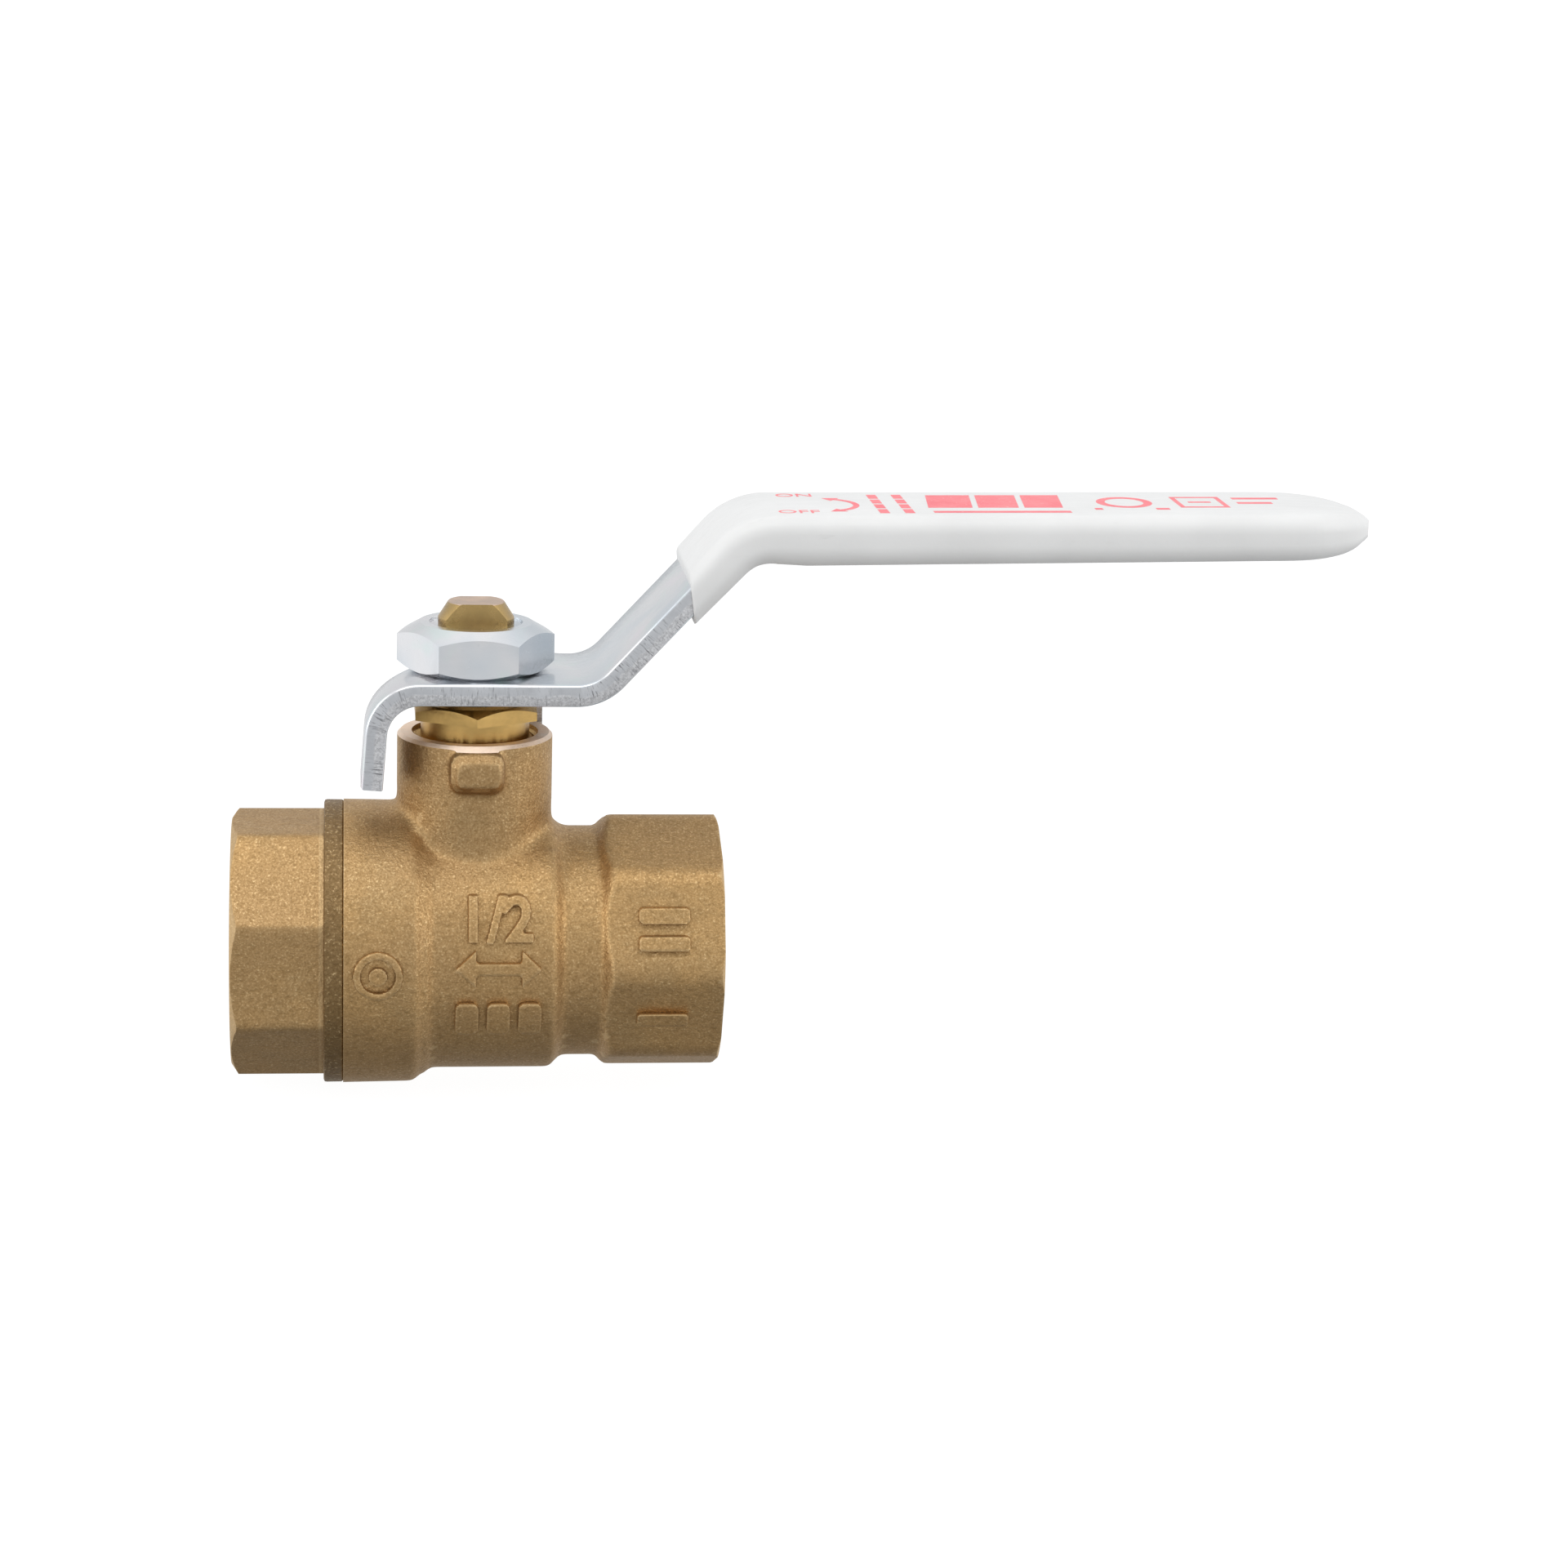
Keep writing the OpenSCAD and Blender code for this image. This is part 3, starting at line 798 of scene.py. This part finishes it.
def body_marks(piece):
    """Generic marks: the nominal size, a flow arrow, bars and a ring."""
    text_x = 2.2
    raised = 0.65
    size = lettering("1/2", 6.0, lean=pi / 2, extrude=6, offset=0.2)
    size.data.transform(Matrix.Translation((text_x - 0.3, 0, 5.4)))
    marks = [size, arrow_mark("flow_arrow", text_x, 0.7, 4.4, 0.65)]
    marks += [bar_mark("rating_bar", text_x + a - 1.2, text_x + a + 1.2, -6.6, -2.9) for a in (-3.2, 0, 3.2)]
    shell_r = middle_r + raised
    raise_marks(piece, marks, turned("shell", [(0, -4), (shell_r, -4), (shell_r, 8), (0, 8)], "X"))

    ring = [ring_mark("lot_ring", -10.0, 0.4, 2.5, 1.75), ring_mark("lot_dot", -10.0, 0.4, 0.95, 0.2)]
    shell_r = barrel_r + raised - 0.1
    raise_marks(piece, ring, turned("shell", [(0, -13), (shell_r, -13), (shell_r, -6), (0, -6)], "X"))

    plates = [bar_mark("grade_bar", 16.4, 21.7, low, low + 1.5) for low in (5.1, 2.4, -5.9)]
    shell = octagon_bar("shell", octagon_flats + 2 * raised, octagon_corner_r, 15, 23)
    raise_marks(piece, plates, shell)


def port_bore(face, side):
    """Everything cut away inside a pipe port: waterway, thread and lead-in cone."""
    bottom = face - side * pipe_depth
    bore = turned("port", [
        (0, bottom), (pipe_crest_r - 0.02, bottom), (pipe_crest_r - 0.02, face - side * pipe_lead_in),
        (pipe_root_r + 0.6, face), (pipe_root_r + 1.2, face + side), (0, face + side),
    ], "X")
    low, high = sorted((bottom + side * 0.6, face + side * 0.6))
    return fuse(bore, thread("pipe_thread", pipe_root_r, pipe_crest_r, pipe_pitch, low, high, "X"))


def make_body():
    body = body_skin()
    body_marks(body)

    half = octagon_flats / 2
    trim = turned("trim", [
        (0, barrel_start), (barrel_r + 2, barrel_start), (barrel_r + 2, 9), (neck_top + 3, 9),
        (neck_top + 3, 10), (half + 2, 10), (half + 2, port_face - 1.1), (half + 0.3, port_face),
        (0, port_face),
    ], "X")
    tower = turned("tower", [
        (0, 0), (12, 0), (12, neck_top - 0.6), (neck_r + 0.2, neck_top - 0.55),
        (neck_r - 0.35, neck_top), (0, neck_top),
    ], "Z")
    fuse(trim, tower)
    combine(body, trim, "INTERSECT")

    wide = cap_thread_r + 0.05
    bore = turned("bore", [
        (0, barrel_start - 2), (wide, barrel_start - 2), (wide, cap_thread_end), (chamber_r, cap_thread_end),
        (chamber_r, seat_front), (seat_pocket_r, seat_front), (seat_pocket_r, seat_back),
        (waterway_r, seat_back), (waterway_r, port_face), (0, port_face),
    ], "X")
    cut(body, bore)
    cut(body, port_bore(port_face, 1))

    passage = turned("passage", [
        (0, 7), (collar_pocket_r, 7), (collar_pocket_r, collar_pocket_top), (stem_hole_r, collar_pocket_top),
        (stem_hole_r, packing_floor), (packing_r, packing_floor), (packing_r, neck_top - 1.2),
        (gland_bore_r, neck_top - 0.45), (gland_bore_r + 0.2, neck_top + 1), (0, neck_top + 1),
    ], "Z")
    mouth_thread = thread("gland_seat", gland_bore_r, 5.8, fine_pitch, 18.9, neck_top + 0.5, "Z")
    fuse(passage, mouth_thread)
    cut(body, passage)

    def finish_of(face):
        c, n = face.center, face.normal
        from_stem = hypot(c.x, c.y)
        if c.z > neck_top - 0.5 and n.z > 0.5 and from_stem < neck_r + 0.5:
            return 2
        if from_stem < 6.7 and c.z > 10.8:
            return 3
        at_end = c.x < barrel_start + 0.1 or c.x > port_face - 0.1
        if hypot(c.y, c.z) < 11.95 or abs(n.x) > 0.98 and at_end:
            return 1
        return 0

    finish_faces(body, [forging, bored_brass, rim_brass, gland_brass], finish_of)
    finished(body, "housing", [])
    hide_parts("body")


def make_cap():
    turn = pi / 8 + cap_turn
    cap = octagon_bar("brass_cap", cap_flats, cap_corner_r, cap_face - 1, flange_start + 1, turn)
    forge(cap, 0.3, 5)
    half = cap_flats / 2
    trim = turned("trim", [
        (0, cap_face), (half - 0.15, cap_face), (half + 1.4, cap_face + 1.0),
        (half + 1.4, flange_start + 0.5), (0, flange_start + 0.5),
    ], "X")
    combine(cap, trim, "INTERSECT")
    flange = turned("flange", [
        (0, flange_start), (barrel_r - 0.3, flange_start), (barrel_r - 0.05, flange_start + 0.1),
        (barrel_r, flange_start + 0.35), (barrel_r - 0.02, barrel_start - 0.15),
        (barrel_r - 0.15, barrel_start), (cap_thread_r - 0.4, barrel_start),
        (cap_thread_r - 0.4, barrel_start + 0.8), (cap_thread_r, barrel_start + 1.1),
        (cap_thread_r, cap_high.x - 0.5), (cap_thread_r - 0.5, cap_high.x), (0, cap_high.x),
    ], "X")
    fuse(cap, flange)
    bore = turned("bore", [
        (0, cap_face - 1), (waterway_r, cap_face - 1), (waterway_r, -seat_back), (seat_pocket_r, -seat_back),
        (seat_pocket_r, cap_high.x + 1), (0, cap_high.x + 1),
    ], "X")
    cut(cap, bore)
    cut(cap, port_bore(cap_face, -1))

    def finish_of(face):
        c = face.center
        radius = hypot(c.y, c.z)
        if radius < 12.05 and (c.x > barrel_start + 0.05 or radius < 11) or c.x < cap_face + 0.02:
            return 1
        if c.x > flange_start - 0.01 and radius > 12.05:
            return 2
        return 0

    finish_faces(cap, [forging, bored_brass, flange_brass], finish_of)
    finished(cap, "housing", [])
    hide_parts("end_cap")


# -------------------- ball and seats


def make_ball():
    edge = degrees(asin(waterway_r / ball_r))
    lip_x = ball_r * cos(radians(edge)) - 0.35
    ball = turned("chrome_ball", [
        (waterway_r, -lip_x),
        *[(r, x) for x, r in arc((0, 0), ball_r, 180 - edge - 2, edge + 2, 40)],
        (waterway_r, lip_x),
        (waterway_r, -lip_x),
    ], "X")
    slot = slab("slot", -1.6, 1.6, 7.4, 14, -ball_r - 1, ball_r + 1, 0.4)
    cut(ball, slot)
    ease_edges(ball, 0.12, 40)
    finished(ball, "valve_ball", [chrome], 40)
    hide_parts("ball")


def make_seat(name, side):
    """A seat ring whose inner face is the ball's own curve."""
    gap_r = ball_r + 0.05
    first = degrees(acos(seat_front / gap_r))
    last = degrees(asin(waterway_r / gap_r))
    seat = turned(name + "_ring", [
        (waterway_r, seat_back), (seat_r - 0.2, seat_back), (seat_r, seat_back - 0.2),
        (seat_r, seat_front + 0.15), (seat_r - 0.15, seat_front),
        *[(r, x) for x, r in arc((0, 0), gap_r, first, last, 10)],
        (waterway_r, seat_back),
    ], "X")
    if side < 0:
        seat.data.transform(Matrix.Rotation(pi, 4, "Z"))
    finished(seat, "housing", [plastic])
    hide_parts(name)


# -------------------- stem, gland and nut


def make_stem():
    tip_r = 2.8
    tip_start = stem_high.z - 1.9
    thread_low = lever_top + 0.4
    stem = turned("brass_stem", [
        (0, collar_low), (collar_r - 0.3, collar_low), (collar_r, collar_low + 0.3), (collar_r, collar_top),
        (stem_r, collar_top), (stem_r, thread_low + 0.2), (stem_r - 0.6, thread_low + 0.7),
        (stem_r - 0.6, tip_start), (0, tip_start),
    ], "Z")
    screw = thread("stem_thread", stem_r, stem_r - 0.68, fine_pitch, thread_low, stem_high.z + 0.5, "Z")
    tip = turned("tip", [
        (0, 20), (5, 20), (5, stem_high.z - 3.4), (tip_r + 0.1, stem_high.z - 0.08),
        (tip_r, stem_high.z), (0, stem_high.z),
    ], "Z")
    core_low = tip_start - 0.9
    core = turned("core", [(0, core_low), (stem_r, core_low), (stem_r, 40), (0, 40)], "Z")
    fuse(screw, core)
    combine(screw, tip, "INTERSECT")
    fuse(stem, screw)
    for side in (-1, 1):
        near, far = sorted((side * stem_flat, side * 6))
        cut(stem, slab("flat", -6, 6, lever_top - strip_t, 40, near, far, 0.05))
    tang = slab("tang", -1.5, 1.5, stem_low.z, collar_low + 0.2, -4, 4, 0.2)
    fuse(stem, tang)
    ease_edges(stem, 0.07, 40)
    sawn = lambda face: int(face.center.z > stem_high.z - 0.05 and face.normal.z > 0.7)
    finish_faces(stem, [stem_brass, tip_brass], sawn)
    finished(stem, "handle", [], 25)
    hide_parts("stem")


def hexagon(name, flats, low, high, turn, lower_break, upper_break):
    """Hexagonal block whose corners a cone turns away at each rim, from that share of half its flats out."""
    corner = flats / 2 / cos(pi / 6)
    block = turned(name, [(0, low), (corner, low), (corner, high), (0, high)], "Z", steps=6)
    block.data.transform(Matrix.Rotation(turn, 4, "Z"))
    slope = tan(radians(30))
    cone = [(0, low)]
    for rim, edge in ((low, lower_break), (high, upper_break)):
        inwards = 1 if rim == low else -1
        if edge:
            face_r = flats / 2 * edge
            points = [(face_r, rim), (corner + 1, rim + inwards * (corner + 1 - face_r) * slope)]
        else:
            points = [(corner + 1, rim), (corner + 1, rim + inwards * 0.2)]
        cone += points[::inwards]
    cone.append((0, high))
    return combine(block, turned("cone", cone, "Z"), "INTERSECT")


def make_gland():
    hex_low = 24.25
    gland = hexagon("brass_gland", gland_flats, hex_low, gland_high.z, pi / 2, 0, 0.955)
    shank = turned("shank", [
        (0, gland_low.z), (gland_shank_r, gland_low.z), (gland_shank_r, hex_low - 0.12),
        (gland_shank_r + 0.3, hex_low + 0.2), (0, hex_low + 0.2),
    ], "Z")
    screw = thread("gland_thread", gland_thread_r, 5.3, fine_pitch, gland_low.z + 0.5, 21.9, "Z")
    fuse(shank, screw)
    fuse(gland, shank)
    rim_r = stem_r + 0.5
    hole = turned("hole", [
        (0, 10), (stem_hole_r, 10), (stem_hole_r, gland_high.z - 0.4), (rim_r, gland_high.z + 0.04),
        (rim_r, 30), (0, 30),
    ], "Z")
    cut(gland, hole)
    ease_edges(gland, 0.06, 30)
    finished(gland, "housing", [gland_brass], 25)
    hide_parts("gland_nut")


def make_nut():
    nut = hexagon("zinc_nut", nut_flats, nut_low.z, nut_high.z, radians(0.6), 0.93, 0.83)
    low, top = nut_low.z, nut_high.z
    hole_r = stem_r + 0.1
    hole = turned("hole", [
        (0, 20), (4.55, 20), (4.55, low), (hole_r, low + 0.6), (hole_r, top - 1.1),
        (4.7, top - 0.35), (4.8, top + 0.05), (4.8, 40), (0, 40),
    ], "Z")
    screw = thread("nut_thread", hole_r, stem_r - 0.6, fine_pitch, low - 0.5, top + 0.5, "Z")
    fuse(hole, screw)
    cut(nut, hole)
    ease_edges(nut, 0.1, 25, 3)
    finished(nut, "handle", [zinc], 25)
    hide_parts("handle_nut")


# -------------------- lever and grip


def cut_across(piece, places):
    """Cuts a flat piece across at each place, so that it can bend there."""
    for place in places:
        slice_at(piece, (place + lower_bend_x, 0, 0), (1, 0, 0))


def bend_along(piece, places):
    """Lays a flat piece along the bent path of the lever."""
    cut_across(piece, places)
    for vertex in piece.data.vertices:
        x, z, lean = bend_point(vertex.co.x - lower_bend_x)
        rise = vertex.co.z - lever_mid
        vertex.co = (x - rise * sin(lean), vertex.co.y, z + rise * cos(lean))


def bend_stations():
    """Where the flat piece is cut before bending: closely spaced in the two bends."""
    lower = [lower_arc * i / 14 for i in range(15)]
    upper = [slope_end + upper_arc * i / 18 for i in range(19)]
    return lower + upper


def fold_down(piece, axis, side, line, inner_r, lean):
    """Folds what lies beyond a line down by a quarter turn less lean, round an inner radius."""
    centre_z = lever_top - strip_t - inner_r
    turn = pi / 2 - lean
    neutral = inner_r + strip_t / 2
    steps = 12
    way = (1, 0, 0) if axis == "x" else (0, 1, 0)
    for i in range(steps + 1):
        place = line + side * neutral * turn * i / steps
        slice_at(piece, [place * w for w in way], way)
    for vertex in piece.data.vertices:
        beyond = side * (getattr(vertex.co, axis) - line)
        if beyond <= 0:
            continue
        angle = min(beyond / neutral, turn)
        rest = max(beyond - neutral * turn, 0)
        radius = vertex.co.z - centre_z
        setattr(vertex.co, axis, line + side * (radius * sin(angle) + rest * cos(angle)))
        vertex.co.z = centre_z + radius * cos(angle) - rest * sin(angle)


def blank_outline():
    """The flat blank: tail at the near left, round head, ear at the far edge, long covered strip."""
    tail_end = tail_line - tail_length
    ear_end = ear_line + ear_length
    end = lower_bend_x + strip_end - covered_half
    narrow = lower_bend_x + narrow_from
    flare = 2.2
    corner = 0.8
    return [
        (tail_end, tail_far), (tail_end, -strip_half), (narrow - 2, -strip_half), (narrow, -covered_half),
        *arc((end, 0), covered_half, -90, 90, 24),
        (narrow, covered_half), (narrow - 2, strip_half),
        *arc((ear_right + flare, strip_half + flare), flare, 270, 180, 8),
        (ear_right, ear_end), (ear_left, ear_end),
        *arc((ear_left - corner, strip_half + corner), corner, 0, -90, 5),
        *arc((head_x, 0), strip_half, 90, 168, 16),
        *arc((tail_line - 4.05, tail_far + tail_fillet), tail_fillet, -17, -90, 8),
    ]


def on_level(piece, edge, level):
    return all(abs(end.z - level) < 0.001 for end in ends_of(piece, edge))


def make_lever():
    under = lever_top - strip_t
    lever = plate("steel_lever", blank_outline(), under, strip_t)
    gap = 0.08
    hole_r = stem_r + gap
    half = degrees(asin((stem_flat + gap) / hole_r))
    hole = [*arc((0, 0), hole_r, -half, half, 10), *arc((0, 0), hole_r, 180 - half, 180 + half, 10)]
    cut(lever, plate("hole", hole, under - 1, strip_t + 2))
    bevel_where(lever, lambda edge: on_level(lever, edge, lever_top), 0.38, 4)
    bevel_where(lever, lambda edge: on_level(lever, edge, under), 0.14, 2)

    def finish_of(face):
        if abs(face.normal.z) > 0.3:
            return 0
        return 2 if face.center.y > strip_half + 0.1 else 1

    finish_faces(lever, [zinc, sheared, torn], finish_of)
    blank = lever.data.attributes.new("blank", "FLOAT_VECTOR", "POINT")
    for vertex, spot in zip(lever.data.vertices, blank.data):
        spot.vector = vertex.co * MM
    fold_down(lever, "x", -1, tail_line, tail_inner_r, tail_lean)
    fold_down(lever, "y", 1, ear_line, ear_inner_r, 0.0)
    for face in lever.data.polygons:
        if face.center.y > ear_line and face.normal.y < -0.5:
            face.material_index = 2
    bend_along(lever, bend_stations())
    finished(lever, "handle", [], 25)
    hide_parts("lever")


def make_grip():
    """A dipped sleeve: flat first, with its pocket and slanting mouth, then bent like the strip."""
    start = lower_bend_x + mouth
    nose = 10.0
    end = lower_bend_x + grip_end - nose
    bottom = lever_mid - grip_half_t
    around_nose = [(end + nose * x, grip_half * y) for x, y in arc((0, 0), 1, -90, 90, 36)]
    outline = [(start - 4, -grip_half), *around_nose, (start - 4, grip_half)]
    grip = plate("vinyl_grip", outline, bottom, 2 * grip_half_t)
    level = lambda edge: on_level(grip, edge, bottom) or on_level(grip, edge, bottom + 2 * grip_half_t)
    bevel_where(grip, lambda edge: level(edge) and not edge_runs(grip, edge, "y"), 1.85, 8)
    slice_at(grip, (start, 0, lever_mid), (1, 0, -mouth_slant), use_fill=True, clear_inner=True)
    bevel_where(grip, lambda edge: at_mouth(grip, edge, start), 0.32, 4)

    stations = bend_stations() + [hand_start + 0.6 * i for i in range(1, 6)]
    stations += [grip_end - nose * cos(pi / 2 * i / 24) for i in range(1, 24)]
    cut_across(grip, stations)
    for vertex in grip.data.vertices:
        rise = vertex.co.z - lever_mid
        vertex.co.z = lever_mid + rise * fullness(vertex.co.x - lower_bend_x, rise < 0)

    gap = 0.03
    narrow = lower_bend_x + narrow_from
    pocket_end = lower_bend_x + strip_end - covered_half
    wide, slim = strip_half + gap, covered_half + gap
    pocket = [
        (start - 6, -wide), (narrow - 2, -wide), (narrow, -slim), *arc((pocket_end, 0), slim, -90, 90, 24),
        (narrow, slim), (narrow - 2, wide), (start - 6, wide),
    ]
    low = lever_mid - strip_t / 2 - gap
    cut(grip, plate("pocket", pocket, low, strip_t + 2 * gap))
    bend_along(grip, bend_stations())
    finished(grip, "handle", [vinyl], 60)
    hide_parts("grip")


def ramp(value, start, end):
    return min(max((value - start) / (end - start), 0), 1)


def fullness(length, below):
    """How full the grip is: slimmer at the mouth, fuller under the palm, domed at the nose."""
    mouth_part = mouth_half_t / grip_half_t
    size = mouth_part + (1 - mouth_part) * ramp(length, mouth, hand_start)
    if below:
        swell = 0.18 * ramp(length, slope_end + 2, hand_start + 3)
        size += swell * (1 - ramp(length, hand_start, grip_end - 6))
    nose = ramp(length, grip_end - 8.5, grip_end)
    return size * (1 - 0.3 * nose ** 2) * sqrt(1 - 0.88 * nose ** 8)


def at_mouth(piece, edge, start):
    return all(abs(e.x - start - mouth_slant * (e.z - lever_mid)) < 0.01 for e in ends_of(piece, edge))


def print_block(points):
    """One flat printed shape on the top of the grip, before it is bent."""
    return plate("print_block", points, grip_skin - 0.02, 0.035)


def print_bar(left, right, near, far, lean=0.0):
    return print_block([(left, near), (right, near), (right + lean, far), (left + lean, far)])


def print_ring(x, y, wide, deep, stroke):
    """A flat elliptical ring."""
    around = [tau * i / 48 for i in range(49)]
    outer = [(x + wide * cos(a), y + deep * sin(a)) for a in around]
    wide, deep = wide - stroke, deep - stroke
    inner = [(x + wide * cos(a), y + deep * sin(a)) for a in reversed(around)]
    return cut(print_block(outer[:-1]), plate("hole", inner[:-1], 0, 60))


def make_print():
    """Generic red print: a turning arrow between ON and OFF, plain blocks, bars and rings."""
    centre = (34.9, -1.0)
    radius, stroke = 4.2, 0.65
    sweep = arc(centre, radius, 58, -58, 20) + arc(centre, radius - stroke, -58, 58, 20)
    blocks = [print_block(sweep)]
    for side in (-1, 1):
        tip = radians(58 * side)
        out = Vector((cos(tip), sin(tip)))
        ahead = side * Vector((-sin(tip), cos(tip)))
        spot = Vector(centre) + (radius - stroke / 2) * out
        head = [spot + 0.95 * out, spot + 1.5 * ahead, spot - 0.95 * out]
        blocks.append(print_block([tuple(p) for p in head]))
    for letters, x, y in (("ON", 33.0, 4.9), ("OFF", 32.4, -5.3)):
        blocks.append(lettering(letters, 2.5, (x, y, grip_skin), extrude=0.02))
    for x in (40.6, 43.2):
        blocks += [print_bar(x, x + 1.0, y, y + 2.4) for y in (-6.2, -3.2, -0.2, 2.8)]
    for left, right in ((46.0, 50.6), (51.2, 55.4), (56.0, 60.0)):
        blocks.append(print_bar(left, right, -2.9, 4.9, 0.8))
    blocks.append(print_bar(46.2, 60.4, -6.0, -4.9))
    blocks.append(print_ring(67.0, 0.3, 2.9, 3.3, 0.9))
    blocks += [print_bar(63.2, 64.0, -4.2, -3.2), print_bar(69.6, 71.0, -4.2, -3.2)]
    blocks += [print_bar(72.4, 77.6, 3.1, 3.7), print_bar(72.4, 77.6, -2.9, -2.3)]
    blocks += [print_bar(72.4, 72.9, -2.3, 3.1), print_bar(77.1, 77.6, -2.3, 3.1)]
    blocks.append(print_bar(73.8, 76.2, 0.1, 0.8))
    blocks += [print_bar(78.9, 83.8, 2.2, 3.2), print_bar(78.9, 82.6, -0.6, 0.4)]
    ink_piece = blocks[0]
    joined(*blocks)
    ink_piece.name = "grip_print"
    ink_piece.data.transform(Matrix.Translation((lower_bend_x + hand_start - hand_x, 0, 0)))
    bend_along(ink_piece, [])
    finished(ink_piece, "handle", [ink], 40)


# -------------------- studio


def paper_floor():
    """White paper under the valve, lit evenly so that it stays white."""
    floor_z = min(body_low.z, cap_low.z) * MM
    bpy.ops.mesh.primitive_plane_add(size=16, location=(0, 0, floor_z - 0.0002))
    floor = bpy.context.active_object
    floor.name = "paper_floor"
    f = Finish("white_paper", 0.0, 0.8)
    f.set(Base_Color=(0.1, 0.1, 0.1, 1), Specular_IOR_Level=0.1)
    f.set(Emission_Color=(1, 1, 1, 1), Emission_Strength=0.96)
    f.bump(f.noise(f.place(), 3.0, 2), 0.01)
    floor.data.materials.append(f.material)
    floor.visible_diffuse = False
    floor.visible_glossy = False


def softbox(name, place, wide, tall, power):
    """An area light aimed at the middle of the valve."""
    data = bpy.data.lights.new(name, "AREA")
    assign(data, shape="RECTANGLE", size=wide, size_y=tall, energy=power)
    lamp = bpy.data.objects.new(name, data)
    bpy.context.scene.collection.objects.link(lamp)
    lamp.location = place
    aim = Vector((0.01, 0, 0.01)) - Vector(place)
    lamp.rotation_euler = aim.to_track_quat("-Z", "Y").to_euler()


def studio():
    """A bright room, darker below and lighter at the sides and the ceiling, with three softboxes."""
    world = bpy.data.worlds.new("studio_room")
    bpy.context.scene.world = world
    world.use_nodes = True
    room = Nodes(world.node_tree)
    way = room.node("SeparateXYZ")
    room.link(room.node("TexCoord").outputs["Generated"], way.inputs[0])
    rise = room.band(way.outputs["Z"], -1.0, -0.2, 0.30, 0.84)
    sides = room.band(room.math("ABSOLUTE", way.outputs["X"]), 0.5, 0.9, 0.0, 0.32)
    ceiling = room.band(way.outputs["Z"], 0.45, 1.0, 0.0, 0.32)
    total = room.math("ADD", room.math("ADD", rise, sides), ceiling)
    light = world.node_tree.nodes["Background"]
    room.link(total, light.inputs["Strength"])
    set_inputs(light, {"Color": (0.97, 0.985, 1.0, 1)})
    softbox("left_softbox", (-0.80, -0.28, 0.35), 0.5, 0.7, 1.6)
    softbox("right_softbox", (0.85, -0.22, 0.38), 0.45, 0.6, 1.4)
    softbox("top_softbox", (-0.10, -0.35, 0.90), 0.7, 0.4, 1.5)
    bpy.context.scene.view_settings.view_transform = "Standard"


def camera():
    """A long lens a little left of the stem, looking down at the near side."""
    data = assign(bpy.data.cameras.new("camera"), lens=87.856, sensor_width=36, clip_start=0.01)
    eye = bpy.data.objects.new("camera", data)
    bpy.context.scene.collection.objects.link(eye)
    place = Matrix.Translation((-0.013776, -0.386276, 0.110219))
    turn, down, roll = radians(6.8), radians(13.5), radians(1.708)
    facing = Matrix.Rotation(-turn, 4, "Z") @ Matrix.Rotation(pi / 2 - down, 4, "X")
    eye.matrix_world = place @ facing @ Matrix.Rotation(roll, 4, "Z")
    bpy.context.scene.camera = eye


# -------------------- build

make_body()
make_cap()
make_ball()
make_seat("seat_outlet", 1)
make_seat("seat_inlet", -1)
make_stem()
make_gland()
make_nut()
make_lever()
make_grip()
make_print()
for hidden in ("thrust_washer", "packing_ring_lower", "packing_ring_middle", "packing_ring_upper"):
    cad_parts[hidden].material_slots[0].material = plastic

paper_floor()
studio()
camera()
